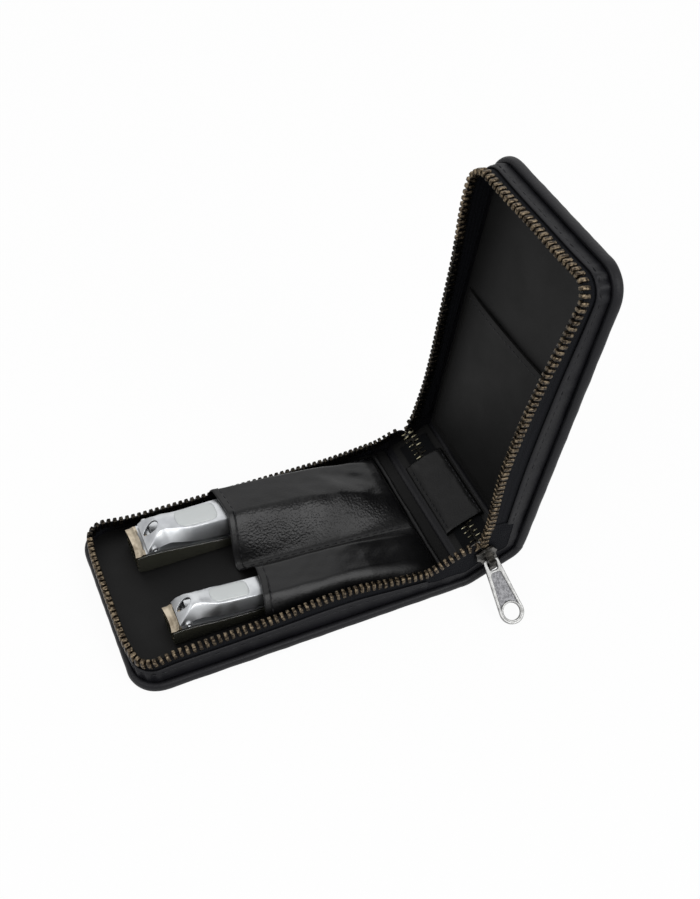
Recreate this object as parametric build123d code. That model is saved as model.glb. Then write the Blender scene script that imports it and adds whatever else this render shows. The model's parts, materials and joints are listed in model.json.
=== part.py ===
from build123d import *
import math
import os

os.makedirs("parts", exist_ok=True)

# Zip-around manicure case, standing open on its base, with two nail clippers
# in leather sleeves. Millimetres, +Z up, origin at the centre of the base's
# flat underside. The fold lines run along Y, the base's free end is at -X.

# Outline of one half of the case
half_length = 122.0          # fold line to free end
case_width = 71.0
corner_radius = 10.0
spine_width = 22.2           # between the two fold lines
spine_lift = 26.3            # angle of the spine above the base, degrees
lid_lift = 59.0              # angle of the lid beyond the spine, degrees

# Layers, from the outside in
leather = 1.2
board = 1.0
lining = 0.6
spine_board = 0.6
rim_width = 2.0              # rolled edge of the cover
rim_height = 3.8
rim_round = 0.9
gusset = 1.0                 # leather side wall
gusset_height = 7.4
tape = 0.8                   # zip tape
floor_height = leather + board + lining

# Fold clearances
bead_gap = 0.3               # between the skin of two panels at a fold
fold_radius = leather / 2
skin_start = fold_radius + bead_gap
layer_start = 1.5            # board and lining of the base and the lid
spine_layer_start = 2.8      # board and lining of the spine
wall_start = 3.4             # rims and side walls

# Zip
tooth_pitch = 2.2
tooth_length = 1.0           # along the row
tooth_depth = 2.4            # across the tape
tooth_height = 3.0
tooth_grip = 1.75            # how far a tooth reaches down over the tape's edge
grip_clearance = 0.03        # tooth to tape, each side, for the bends
row_gap = 1.7                # between the two rows of the closed case
mesh_depth = 1.0             # overlap of two meshed teeth
near_row_start = 17.0        # the rows near the slider bend and start later
near_tape_start = 12.5
far_row_start = 7.0
row_inset = rim_width + gusset + tape / 2
row_top = fold_radius + spine_width / 2 - row_gap / 2
row_foot = row_top - tooth_height
tape_top = row_foot + tooth_grip
tape_foot = gusset_height - 2.4

# Slider and pull
slider_length = 8.2
slider_front_width = 8.2
slider_rear_width = 5.6
slider_plate = 1.0
slider_clearance = 0.3       # plate to tooth, each side
slider_rear = 5.4            # above the outside of the spine
slider_bar_share = 0.35      # how far along the slider the pull's bar lies
slider_post_width = 1.2
slider_post_length = 2.8
crown_wall = 0.9
crown_width = 2.6
crown_tilt = -20.0           # turned in the slider's plane, degrees
bar_radius = 0.6
bar_play = 0.5
pull_length = 23.4           # from the bar to the tip
pull_top_width = 5.8
pull_end_width = 9.0
pull_thickness = 1.3
pull_hole = 6.2              # diameter
pull_rim = 0.9               # raised edge
pull_recess = 0.3            # depth of the sunk face
pull_window = 3.4
pull_droop = 30.0            # below the slider's normal, degrees

# Strap over the zip's ends
strap_edge = 0.1             # from the spine's lining edge
strap_low = -13.0
strap_high = 18.0
strap = 1.2

# Sleeves for the clippers
mouth_depth = 34.0           # how far the large clipper stands out of its sleeve
sleeve_end = 8.0
sleeve_edge = 1.7            # from the side wall
seam_width = 2.2
seam_lean = 0.22             # share of the space between the clippers that the seam leans over
sleeve = 1.0
binding_start = 4.4
binding_width = 2.8
binding_height = 2.4

# Slip pocket in the lid
slip_start = 4.2
slip_top = 70.0
slip = 0.9
slip_space = 0.6
slip_seam = 3.0
slip_inset = 4.8

# Clippers
large_length = 82.0
large_width = 14.2
large_height = 14.3
large_end_space = 14.5       # cutting edge to the case's free end
large_side_space = 11.3      # clipper to the case's far edge
small_length = 70.0
small_width = 11.6
small_end_space = 16.6
small_side_space = 13.4      # clipper to the case's near edge
small_height = 13.16
catcher_wall = 0.9
jaw_play = 0.25              # jaw to catcher wall, each side
axle_radius = 0.8
axle_clearance = 0.05
jaw_hole_play = 0.5          # post to the upper jaw, which flexes
rivet_hole_play = 0.2
rivet_head = 0.5
post_lip = 0.4
lever_inset = 0.8            # lever's side to the clipper's side
lever_wall = 1.1
lever_sheet = 1.2
badge_thickness = 0.3

near = -1
far = 1

# Places that follow from the sizes above
edge = case_width / 2
layer_edge = edge - rim_width - gusset
large_front = half_length - large_end_space
large_rear = large_front - large_length
large_side = edge - large_side_space - large_width / 2
small_front = half_length - small_end_space
small_rear = small_front - small_length
small_side = -(edge - small_side_space - small_width / 2)
mouth = large_front - mouth_depth


def panel(corner, angle):
    """Plane on the outside of a panel that starts at a fold line."""
    turn = math.radians(angle)
    along = Vector(math.cos(turn), 0, math.sin(turn))
    inward = Vector(-math.sin(turn), 0, math.cos(turn))
    return Plane(origin=corner - inward * fold_radius, x_dir=along, z_dir=inward)


base_fold = Vector(half_length / 2, 0, fold_radius)
base_plane = Plane(origin=(half_length / 2, 0, 0), x_dir=(-1, 0, 0), z_dir=(0, 0, 1))
spine_plane = panel(base_fold, spine_lift)
lid_fold = base_fold + spine_plane.x_dir * spine_width
lid_plane = panel(lid_fold, spine_lift + lid_lift)


def write(node, shape, plane=Plane.XY):
    shape = plane.location * shape
    shape.label = node
    export_step(shape, "parts/" + node + ".step")


def block(x_low, x_high, y_low, y_high, z_low, z_high):
    size = (x_high - x_low, y_high - y_low, z_high - z_low)
    middle = ((x_low + x_high) / 2, (y_low + y_high) / 2, (z_low + z_high) / 2)
    return Pos(*middle) * Box(*size)


def outline(inset, start):
    """One half's outline, drawn in by inset and cut off square at start."""
    length = half_length - inset - start
    sheet = Pos(start + length / 2, 0) * Rectangle(length, case_width - 2 * inset)
    return fillet(sheet.vertices().group_by(Axis.X)[-1], corner_radius - inset)


def layer(inset, start, low, high):
    return Pos(0, 0, low) * extrude(outline(inset, start), high - low)


def wall(inset, thickness, start, low, high):
    return layer(inset, start, low, high) - layer(inset + thickness, start - 1, low - 1, high + 1)


def side_profile(points, width):
    """A solid with the given outline in XZ and the given width along Y."""
    face = make_face(Polyline(*[(x, 0, z) for x, z in points], close=True))
    return extrude(face, width / 2, dir=(0, 1, 0), both=True)


def half_cover():
    body = layer(0, 0, 0, rim_height)
    edges = body.edges().filter_by(GeomType.LINE).filter_by(Axis.Z, reverse=True)
    edges += body.edges().filter_by(GeomType.CIRCLE)
    edges = [e for e in edges if e.center().X > 0.01]
    body = chamfer(edges, rim_round)
    body -= layer(rim_width, -1, leather, rim_height + 1)
    body -= block(-1, wall_start, -case_width, case_width, leather, rim_height + 1)
    bead = Pos(0, 0, fold_radius) * Rot(90, 0, 0) * Cylinder(fold_radius, case_width - 2 * rim_round)
    return body + bead


def half_tape(near_side):
    body = wall(row_inset - tape / 2, tape, far_row_start, tape_foot, tape_top)
    edge = near_side * case_width / 2
    cut = block(0, near_tape_start, min(0, edge), max(0, edge), 0, row_top)
    return body - cut


# One tooth: a fork that grips the tape's edge, with a solid head above it.
# X is across the tape, Y is the tooth's height, Z runs along the row.
slot = tape / 2 + grip_clearance
fork = [
    (-tooth_depth / 2, 0),
    (-slot, 0),
    (-slot, tooth_grip),
    (slot, tooth_grip),
    (slot, 0),
    (tooth_depth / 2, 0),
    (tooth_depth / 2, tooth_height),
    (-tooth_depth / 2, tooth_height),
]
tooth = extrude(make_face(Polyline(*fork, close=True)), tooth_length / 2, both=True)


def set_tooth(foot, height, run):
    """A tooth standing at foot, pointing along height, in a row that runs along run."""
    across = Vector(*height).cross(Vector(*run))
    return Plane(origin=foot, x_dir=across, z_dir=run).location * tooth


def half_row(near_side, offset):
    """The teeth around one half, from the near side over the free end to the far side."""
    radius = corner_radius - row_inset
    side = case_width / 2 - row_inset
    turn = half_length - row_inset - radius
    arc = radius * math.pi / 2
    lengths = [turn - near_row_start, arc, 2 * (side - radius), arc, turn - far_row_start]
    teeth = []
    for count in range(int((sum(lengths) - offset) / tooth_pitch) + 1):
        run = offset + count * tooth_pitch
        if run <= lengths[0]:
            x, y, heading = near_row_start + run, side, 0
        elif run <= sum(lengths[:2]):
            swept = (run - lengths[0]) / radius
            x = turn + radius * math.sin(swept)
            y = side - radius + radius * math.cos(swept)
            heading = swept
        elif run <= sum(lengths[:3]):
            x, y, heading = turn + radius, side - radius - (run - sum(lengths[:2])), math.pi / 2
        elif run <= sum(lengths[:4]):
            swept = (run - sum(lengths[:3])) / radius
            x = turn + radius * math.cos(swept)
            y = -side + radius - radius * math.sin(swept)
            heading = math.pi / 2 + swept
        else:
            x, y, heading = turn - (run - sum(lengths[:4])), -side, math.pi
        direction = (math.cos(heading), -near_side * math.sin(heading), 0)
        teeth.append(set_tooth((x, near_side * y, row_foot), (0, 0, 1), direction))
    return Compound(children=teeth)


# Base and lid. In each half's own frame the near side, with the slider, is at
# +Y in the base and at -Y in the lid.
for half, plane, near_side in (("base", base_plane, 1), ("lid", lid_plane, -1)):
    write(half + "_cover", half_cover(), plane)
    write(half + "_board", layer(rim_width + gusset, layer_start, leather, leather + board), plane)
    write(half + "_lining", layer(rim_width + gusset, layer_start, leather + board, floor_height), plane)
    write(half + "_gusset", wall(rim_width, gusset, wall_start, leather, gusset_height), plane)
    write(half + "_zipper_tape", half_tape(near_side), plane)
    offset = 0 if half == "base" else tooth_pitch / 2
    write(half + "_zipper_teeth", half_row(near_side, offset), plane)

# Spine
spine_middle = spine_width / 2
spine_layer_end = spine_width - spine_layer_start
spine_wall_end = spine_width - wall_start

spine_cover = block(skin_start, spine_width - skin_start, -edge, edge, 0, leather)
for side in (-1, 1):
    outer, inner = side * edge, side * (edge - rim_width)
    low, high = min(outer, inner), max(outer, inner)
    spine_cover += block(wall_start, spine_wall_end, low, high, 0, rim_height - tape)
outer_edges = [e for e in spine_cover.edges().filter_by(Axis.X) if abs(e.center().Y) > edge - 0.01]
spine_cover = chamfer(outer_edges, leather / 2 - 0.05)
write("spine_cover", spine_cover, spine_plane)

write(
    "spine_board",
    block(spine_layer_start, spine_layer_end, -layer_edge, layer_edge, leather, leather + spine_board),
    spine_plane,
)

channel = mesh_depth / 2 + tooth_height - mesh_depth + 0.3
channel_rim = 0.35
channel_end = layer_edge - channel_rim
spine_lining = block(
    spine_layer_start, spine_layer_end, -layer_edge, layer_edge, leather + spine_board, floor_height
)
spine_lining -= block(
    spine_middle - channel, spine_middle + channel, -channel_end, channel_end, leather, floor_height + 1
)
write("spine_lining", spine_lining, spine_plane)

walls = []
for side in (-1, 1):
    outer, inner = side * (edge - rim_width), side * layer_edge
    low, high = min(outer, inner), max(outer, inner)
    walls.append(block(wall_start, spine_wall_end, low, high, leather, rim_height - tape + 0.2))
write("spine_gusset", Compound(children=walls), spine_plane)

# The closed zip lies along the spine with its teeth sunk in the lining, and
# turns up both side walls.
chain_bend = 2.6
chain_side = edge - row_inset
chain_floor = floor_height + tape / 2
tape_edge = tooth_height - mesh_depth / 2 - tooth_grip
tape_strip = 5.0


def chain_path(side, top, run):
    """Point and heading on the closed zip, run mm down from its top end."""
    drop = top - chain_floor - chain_bend
    arc = chain_bend * math.pi / 2
    if run <= drop:
        return (side * chain_side, top - run), (0, -1)
    if run <= drop + arc:
        swept = (run - drop) / chain_bend
        y = chain_side - chain_bend + chain_bend * math.cos(swept)
        z = chain_floor + chain_bend - chain_bend * math.sin(swept)
        return (side * y, z), (-side * math.sin(swept), -math.cos(swept))
    y = chain_side - chain_bend - (run - drop - arc)
    return (side * y, chain_floor), (-side, 0)


def chain_run(top, inner_end):
    return top - chain_floor - chain_bend + chain_bend * math.pi / 2 + chain_side - chain_bend - inner_end


chains = ((near, 8.6, -strap_low - 4), (far, 6.6, strap_high - 4))
teeth = []
strips = []
for side, top, inner_end in chains:
    for row in (-1, 1):
        start = tooth_length / 2 + (tooth_pitch / 2 if row > 0 else 0)
        count = int((chain_run(top, inner_end) - start) / tooth_pitch) + 1
        for step in range(count):
            (y, z), (run_y, run_z) = chain_path(side, top, start + step * tooth_pitch)
            foot = (spine_middle + row * (tooth_height - mesh_depth / 2), y, z)
            teeth.append(set_tooth(foot, (-row, 0, 0), (0, run_y, run_z)))
        low = chain_floor - tape / 2
        floor_end = chain_side - chain_bend - 0.4
        near_edge = spine_middle + row * tape_edge
        far_edge = near_edge + row * tape_strip
        strips.append(
            block(
                min(near_edge, far_edge), max(near_edge, far_edge),
                min(side * inner_end, side * floor_end), max(side * inner_end, side * floor_end),
                low, low + tape,
            )
        )
write("spine_zipper_teeth", Compound(children=teeth), spine_plane)
write("spine_zipper_tape", Compound(children=strips), spine_plane)

strap_low_w = spine_layer_start + strap_edge
strap_high_w = spine_layer_end - strap_edge
strap_seam = 2.3
strap_under = chain_floor + tooth_depth / 2 + 0.2
strap_points = [
    (strap_low_w, floor_height),
    (strap_low_w, floor_height + strap),
    (strap_low_w + 1.8, floor_height + strap + 0.7),
    (strap_low_w + 3.6, strap_under + strap),
    (strap_high_w - 3.6, strap_under + strap),
    (strap_high_w - 1.8, floor_height + strap + 0.7),
    (strap_high_w, floor_height + strap),
    (strap_high_w, floor_height),
    (strap_high_w - strap_seam, floor_height),
    (strap_high_w - strap_seam, floor_height + strap),
    (strap_high_w - 4.0, strap_under),
    (strap_low_w + 4.0, strap_under),
    (strap_low_w + strap_seam, floor_height + strap),
    (strap_low_w + strap_seam, floor_height),
]
strap_body = Pos(0, (strap_low + strap_high) / 2, 0) * side_profile(strap_points, strap_high - strap_low)
write("spine_band", strap_body, spine_plane)

# Slider: two plates joined at the front by a post that parts the rows.
slider_side = -(edge - row_inset)
slider_gap = tooth_depth + 2 * slider_clearance
slider_front = slider_rear + slider_length
slider_face = Plane(origin=(spine_middle, slider_side, 0), x_dir=(1, 0, 0), z_dir=(0, -1, 0))
shield = [
    (-slider_rear_width / 2, slider_rear),
    (slider_rear_width / 2, slider_rear),
    (slider_rear_width / 2 + 0.2, slider_rear + 3.6),
    (slider_front_width / 2, slider_front - 2.8),
    (slider_front_width / 2 - 0.8, slider_front),
    (-slider_front_width / 2 + 0.8, slider_front),
    (-slider_front_width / 2, slider_front - 2.8),
    (-slider_rear_width / 2 - 0.2, slider_rear + 3.6),
]
shield_face = make_face(Polyline(*shield, close=True))
outer_plate = Pos(0, 0, slider_gap / 2) * extrude(shield_face, slider_plate)
inner_plate = Pos(0, 0, -slider_gap / 2 - slider_plate) * extrude(shield_face, slider_plate)
post_middle = slider_front - slider_post_length / 2 - 0.3
post_face = Pos(0, post_middle) * Rectangle(slider_post_width, slider_post_length)
post = extrude(post_face, slider_gap / 2, both=True)
write("slider_body", slider_face.location * (outer_plate + inner_plate + post), spine_plane)

# Crown: the arch on the slider's outer plate that holds the pull's bar. In
# this frame X is the bar, Y points to the slider's front, Z away from the case.
bar_out = slider_gap / 2 + slider_plate + bar_radius + bar_play
bar_along = slider_rear + slider_length * slider_bar_share
tunnel = bar_radius + bar_play
crown_frame = slider_face.location * Pos(0, bar_along, bar_out) * Rot(0, 0, crown_tilt)
crown_outer = tunnel + crown_wall
crown = block(-crown_width / 2, crown_width / 2, -crown_outer, crown_outer, -tunnel, crown_outer)
crown -= block(-crown_width, crown_width, -tunnel, tunnel, -crown_outer, tunnel)
write("slider_crown", crown_frame * crown, spine_plane)

# Pull: bar, window for the crown, sunk face with a raised edge, round hole.
# In its own frame X is the bar and -Y points to the tip.
end_radius = pull_end_width / 2
hole_centre = end_radius - pull_length
tab = make_hull(
    (Pos(0, hole_centre) * Circle(end_radius)).edges()
    + (Pos(0, -0.4) * Rectangle(pull_top_width, 2 * bar_radius + 0.8)).edges()
)
face_low = -3.9
window_low = -3.4
recess_top = Pos(0, (face_low - 1.4)) * Rectangle(pull_top_width - 2 * pull_rim, 1.0)
recess = make_hull((Pos(0, hole_centre) * Circle(end_radius - pull_rim)).edges() + recess_top.edges())
hole = Pos(0, hole_centre) * Circle(pull_hole / 2)
hole_rim = Pos(0, hole_centre) * Circle(pull_hole / 2 + 0.5)
window = Pos(0, (window_low - bar_radius) / 2) * Rectangle(pull_window, -window_low - bar_radius)
pull = extrude(tab - hole - window, pull_thickness / 2, both=True)
sunk = extrude(recess - hole_rim, pull_recess)
pull -= Pos(0, 0, pull_thickness / 2 - pull_recess) * sunk
pull -= Pos(0, 0, -pull_thickness / 2) * sunk
top_cut = block(-pull_top_width, pull_top_width, 0, 1.5, -2, 2)
bar = Rot(0, 90, 0) * Cylinder(bar_radius, pull_top_width)
pull = pull - top_cut + bar
pull_frame = crown_frame * Rot(pull_droop - 90, 0, 0)
write("pull_tab", pull_frame * pull, spine_plane)


def faceted(quads):
    """A closed solid from flat triangles, two for each four-cornered patch."""
    faces = []
    for a, b, c, d in quads:
        for corners in ((a, b, c), (a, c, d)):
            faces.append(Face(Wire.make_polygon([Vector(*p) for p in corners], close=True)))
    return Solid(Shell(faces))


# Sleeves: one sheet sewn down along its edges, its end and the seam between
# the clippers, and raised over each clipper. Each row holds the distance from
# the fold line and the clear height over the large and the small clipper.
taper = large_rear - sleeve_end
large_rises = [
    (mouth, 12.6),
    (mouth - 5.5, 12.1),
    (large_rear + 4.0, 11.0),
    (sleeve_end + 0.886 * taper, 7.6),
    (sleeve_end + 0.543 * taper, 3.6),
    (sleeve_end + 0.229 * taper, 1.5),
    (sleeve_end, 0.0),
]
small_rises = [
    (mouth, 11.6),
    (mouth - 5.5, 11.1),
    ((mouth + small_rear) / 2, 10.6),
    (small_rear + 1.1, 9.8),
    ((2 * small_rear + sleeve_end) / 3, 5.2),
    ((small_rear + 2 * sleeve_end) / 3, 1.9),
    (sleeve_end, 0.0),
]


def rise_at(rises, distance):
    """Clear height at a distance from the fold line, on straight lines between the stations."""
    for (high, high_rise), (low, low_rise) in zip(rises, rises[1:]):
        if distance >= low:
            return low_rise + (high_rise - low_rise) * (distance - low) / (high - low)


stations = []
for distance, _ in sorted(large_rises + small_rises, reverse=True):
    if not stations or stations[-1] - distance > 0.8:
        stations.append(distance)
stations[-1] = sleeve_end
# Across the sheet: place along Y, share of the large and the small sleeve's
# height, and how far the place follows the slanting seam.
sheet_edge = layer_edge - sleeve_edge
large_outer = large_side + large_width / 2
large_inner = large_side - large_width / 2
small_outer = small_side - small_width / 2
small_inner = small_side + small_width / 2
seam_middle = (large_inner + small_inner) / 2 - 0.25
seam_far = seam_middle + seam_width / 2
seam_near = seam_middle - seam_width / 2
across = [
    (sheet_edge, 0, 0, 0),
    ((sheet_edge + large_outer + 1.5) / 2, 0.42, 0, 0),
    (large_outer + 1.5, 0.84, 0, 0),
    (large_outer - 0.2, 1, 0, 0),
    (large_inner + 0.2, 1, 0, 0),
    (large_inner - 1.5, 0.84, 0, 0),
    ((large_inner - 1.5 + seam_far) / 2, 0.3, 0, 0.5),
    (seam_far, 0, 0, 1),
    (seam_near, 0, 0, 1),
    ((small_inner + 1.5 + seam_near) / 2, 0, 0.3, 0.5),
    (small_inner + 1.5, 0, 0.84, 0),
    (small_inner + 0.1, 0, 1, 0),
    (small_outer - 0.1, 0, 1, 0),
    (small_outer - 1.5, 0, 0.84, 0),
    ((small_outer - 1.5 - sheet_edge) / 2, 0, 0.35, 0),
    (-sheet_edge, 0, 0, 0),
]
seam_slant = seam_lean * (large_inner - small_inner)
top_rows = []
foot_rows = []
for distance in stations:
    follow = -seam_slant * (mouth - distance) / (mouth - sleeve_end)
    large_rise = rise_at(large_rises, distance)
    small_rise = rise_at(small_rises, distance)
    feet = []
    for place, large_share, small_share, slant in across:
        height = floor_height + large_share * large_rise + small_share * small_rise
        feet.append((half_length / 2 - distance, place + slant * follow, height))
    foot_rows.append(feet)
    top_rows.append([(x, y, z + sleeve) for x, y, z in feet])
quads = []
rows, places = len(stations), len(across)
for i in range(rows - 1):
    for j in range(places - 1):
        quads.append((top_rows[i][j], top_rows[i][j + 1], top_rows[i + 1][j + 1], top_rows[i + 1][j]))
        quads.append((foot_rows[i][j], foot_rows[i + 1][j], foot_rows[i + 1][j + 1], foot_rows[i][j + 1]))
    for j in (0, places - 1):
        quads.append((top_rows[i][j], top_rows[i + 1][j], foot_rows[i + 1][j], foot_rows[i][j]))
for j in range(places - 1):
    for i in (0, rows - 1):
        quads.append((top_rows[i][j], foot_rows[i][j], foot_rows[i][j + 1], top_rows[i][j + 1]))
write("pocket_panel", faceted(quads))

binding_x = half_length / 2 - binding_start - binding_width / 2
binding = Pos(binding_x, 0, floor_height + binding_height / 2) * Box(
    binding_width, 2 * layer_edge - 2, binding_height
)
binding_edges = binding.edges().filter_by(Axis.Y).group_by(Axis.Z)[-1]
write("pocket_end_binding", fillet(binding_edges, binding_width / 2 - 0.3))

# Slip pocket of the lid: a sheet raised off the lining, open at its top edge.
slip_edge = edge - slip_inset
slip_height = floor_height + slip_space + slip
slip_panel = block(slip_start, slip_top, -slip_edge, slip_edge, floor_height, slip_height)
slip_panel -= block(
    slip_start + slip_seam, slip_top + 1, -slip_edge + slip_seam, slip_edge - slip_seam,
    floor_height - 1, floor_height + slip_space,
)
write("lid_pocket_panel", slip_panel, lid_plane)


def clipper(name, length, width, height, where):
    """A nail clipper, cutting edge at x = 0, its catcher standing on z = 0.

    Profiles are drawn in hundredths of the clipper's length and height.
    """

    def along(share):
        return share * length / 100

    def up(share):
        return share * height / 100

    def at(points):
        return [(along(x), up(z)) for x, z in points]

    meet = up(35)
    contact = along(88)
    jaw_width = width - 2 * catcher_wall - 2 * jaw_play
    blade = along(1.7)
    post_x = along(11.6)
    post_radius = up(11.2)
    rivet_x = along(94)

    # Lower jaw, and the upper one as its mirror image in the contact face
    lower = at([(1.5, 28), (3.9, 19.6), (7.3, 16.8), (36.6, 17.5), (80.5, 29.4)])
    lower += [(contact, meet), (length, meet)]
    lower += at([(100, 27.3), (98.8, 23.8), (36.6, 5.6), (4.9, 5.6)])
    lower += at([(2.4, 8.4), (0.7, 18.2), (0, 29.4), (0.6, 29.4)])
    jaw = side_profile(lower, width)
    for side in (-1, 1):
        trim_low, trim_high = sorted((side * jaw_width / 2, side * width))
        jaw -= block(blade, length + 1, trim_low, trim_high, -1, 2 * meet)
    jaw_mirror = mirror(jaw, Plane(origin=(0, 0, meet), z_dir=(0, 0, 1)))
    post_hole = Pos(post_x, 0, 0) * Cylinder(post_radius, 8 * meet)
    wide_hole = Pos(post_x, 0, 0) * Cylinder(post_radius + jaw_hole_play, 8 * meet)
    rivet_radius = up(10.5)
    rivet_hole = Pos(rivet_x, 0, 0) * Cylinder(rivet_radius, 8 * meet)
    rivet_play = Pos(rivet_x, 0, 0) * Cylinder(rivet_radius + rivet_hole_play, 8 * meet)
    write(name + "_lower_jaw", jaw - post_hole - rivet_hole, where)
    write(name + "_upper_jaw", jaw_mirror - wide_hole - rivet_play, where)

    # Rivet through both jaws, its upper head clear of the jaw that flexes
    jaw_half = up(13.64)
    head = up(16.8)
    rivet = Pos(rivet_x, 0, meet) * Cylinder(rivet_radius, 2 * jaw_half + rivet_head)
    rivet += Pos(rivet_x, 0, meet + jaw_half + 0.9 * rivet_head) * Cylinder(head, rivet_head)
    write(name + "_rear_rivet", rivet, where)

    # Catcher: two side walls and a floor around the jaws
    catcher_end = along(56.1)
    catcher_start = blade + 0.4
    catcher_height = up(59.4)
    foot = up(5.6)
    catcher = block(catcher_start, catcher_end, -width / 2, width / 2, 0, catcher_height)
    inside = width / 2 - catcher_wall
    catcher -= block(-1, length, -inside, inside, foot, 2 * catcher_height)
    catcher -= Pos(post_x, 0, 0) * Cylinder(up(18.2), 2 * foot + 1)
    write(name + "_catcher", catcher, where)

    # Post, with its foot sunk in the catcher's floor
    axle_z = up(81.1)
    pin = Pos(post_x, 0, (foot + height) / 2) * Cylinder(post_radius, height - foot)
    pin += Pos(post_x, 0, foot / 2 + 0.05) * Cylinder(up(16.8), foot - 0.1)
    pin += Pos(post_x, 0, height - up(3.5)) * Cylinder(post_radius + post_lip, up(7))
    axle_hole = Pos(post_x, 0, axle_z) * Rot(90, 0, 0) * Cylinder(axle_radius + axle_clearance, width)
    write(name + "_post", pin - axle_hole, where)

    # Lever: a pressed channel, deep over the post and shallow at the tail
    lever_width = width - 2 * lever_inset
    crest = at([(5.6, 72.7), (10.4, 95.8), (14.6, 97.9), (34.1, 78.3)])
    crest += at([(41.5, 75.5), (73.2, 67.1), (92.7, 64.3)])
    under = [(x, z - lever_sheet) for x, z in reversed(crest[4:])]
    skirt = up(66.4)
    lever = side_profile(crest + under + [(along(34.1), skirt), (along(5.6), skirt)], lever_width)
    hollow = [(along(7.6), skirt - 1), (along(7.6), crest[0][1])]
    hollow += [(along(11), crest[1][1] - lever_sheet), (along(14.6), crest[2][1] - lever_sheet)]
    hollow += [(along(32.9), crest[3][1] - lever_sheet + 0.1), (along(32.9), skirt - 1)]
    lever -= side_profile(hollow, lever_width - 2 * lever_wall)
    lever -= Pos(post_x, 0, height) * Cylinder(post_radius + post_lip + 0.6, up(42))
    lever -= Pos(post_x, 0, axle_z) * Rot(90, 0, 0) * Cylinder(axle_radius, width)
    write(name + "_lever", lever, where)
    axle = Pos(post_x, 0, axle_z) * Rot(90, 0, 0) * Cylinder(axle_radius, lever_width)
    write(name + "_lever_axle", axle, where)

    # Blank plate set on the lever's slope
    slope_start, slope_end = Vector(crest[2][0], 0, crest[2][1]), Vector(crest[3][0], 0, crest[3][1])
    slope = (slope_end - slope_start).normalized()
    middle = slope_start + (slope_end - slope_start) * 0.53
    badge = Plane(origin=middle, x_dir=slope, z_dir=slope.cross(Vector(0, 1, 0)))
    outline_face = RectangleRounded(along(12.2), 0.55 * lever_width, 0.13 * lever_width)
    write(name + "_label_plate", badge.location * extrude(outline_face, badge_thickness), where)


large_where = Plane(origin=(half_length / 2 - large_front, large_side, floor_height))
small_where = Plane(origin=(half_length / 2 - small_front, small_side, floor_height))
clipper("large", large_length, large_width, large_height, large_where)
clipper("small", small_length, small_width, small_height, small_where)
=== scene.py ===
import json
import math

import bmesh
import bpy
import numpy as np
from mathutils import Matrix, Vector


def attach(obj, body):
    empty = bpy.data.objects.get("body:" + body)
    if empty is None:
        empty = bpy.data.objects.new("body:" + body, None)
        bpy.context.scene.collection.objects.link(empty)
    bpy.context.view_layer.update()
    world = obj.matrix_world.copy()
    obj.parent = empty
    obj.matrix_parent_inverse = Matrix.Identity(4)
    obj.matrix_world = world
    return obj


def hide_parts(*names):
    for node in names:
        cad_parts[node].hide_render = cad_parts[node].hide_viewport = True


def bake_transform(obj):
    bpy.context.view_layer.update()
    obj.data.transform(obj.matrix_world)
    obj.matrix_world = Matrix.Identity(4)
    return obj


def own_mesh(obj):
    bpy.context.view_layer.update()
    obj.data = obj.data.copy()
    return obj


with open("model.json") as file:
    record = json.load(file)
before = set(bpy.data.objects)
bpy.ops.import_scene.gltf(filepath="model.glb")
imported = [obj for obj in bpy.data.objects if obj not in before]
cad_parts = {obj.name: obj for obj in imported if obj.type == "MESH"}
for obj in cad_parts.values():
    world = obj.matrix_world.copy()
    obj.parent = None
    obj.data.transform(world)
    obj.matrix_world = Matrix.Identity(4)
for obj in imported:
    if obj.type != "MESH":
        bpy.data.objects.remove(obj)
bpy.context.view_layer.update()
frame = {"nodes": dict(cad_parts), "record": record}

print("case: frame loaded")

# Millimetres throughout; meshes are written in metres at the very end.
# The base lies on z = 0 with its free end at -x, the spine and the lid rise at +x.
case = {
    "length": 122.0,        # fold line to free end, base and lid alike
    "width": 71.0,
    "corner": 10.0,
    "spine": 22.2,          # between the two fold lines
    "foldLevel": 0.6,       # height of the fold lines above the outer face
    "spineLift": 26.3,      # degrees
    "lidLift": 59.0,        # degrees beyond the spine
    "bend": (2.1, 4.2),     # how far each fold's rounding reaches along the skin
    "floor": 2.8,           # inner face of the lining
    "rowInset": 3.4,        # middle of the zip's tape from the edge
    "rowFoot": 7.85,        # foot of the teeth above the outer face
}
half = case["width"] / 2


# ---------------------------------------------------------------- surfaces
def wrap(s, y, n):
    """Point of the opened case.

    s runs along the skin: below 0 on the base, 0 to 22.2 on the spine, more on
    the lid. n is the height over the outer face. Straight runs at three
    headings are joined by arcs, so a fold is part of a circle of radius
    reach / tan(turn / 2).
    """
    s, y, n = np.broadcast_arrays(np.asarray(s, float), np.asarray(y, float), np.asarray(n, float))
    heading = np.zeros(s.shape)
    x = case["length"] / 2 + s
    z = np.full(s.shape, case["foldLevel"])
    cornerX, cornerZ, cornerS, before = case["length"] / 2, case["foldLevel"], 0.0, 0.0
    for turn, reach in ((case["spineLift"], case["bend"][0]), (case["lidLift"], case["bend"][1])):
        turn = math.radians(turn)
        radius = reach / math.tan(turn / 2)
        after = before + turn
        centreX = cornerX - reach * math.cos(before) - radius * math.sin(before)
        centreZ = cornerZ - reach * math.sin(before) + radius * math.cos(before)
        angle = before + turn * np.clip((s - cornerS + reach) / (2 * reach), 0, 1)
        past = np.maximum(s - cornerS - reach, 0)
        bent = s > cornerS - reach
        x = np.where(bent, centreX + radius * np.sin(angle) + past * math.cos(after), x)
        z = np.where(bent, centreZ - radius * np.cos(angle) + past * math.sin(after), z)
        heading = np.where(bent, angle, heading)
        cornerX += case["spine"] * math.cos(after)
        cornerZ += case["spine"] * math.sin(after)
        cornerS += case["spine"]
        before = after
    lift = n - case["foldLevel"]
    return np.stack([x - lift * np.sin(heading), y, z + lift * np.cos(heading)], -1)


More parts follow.
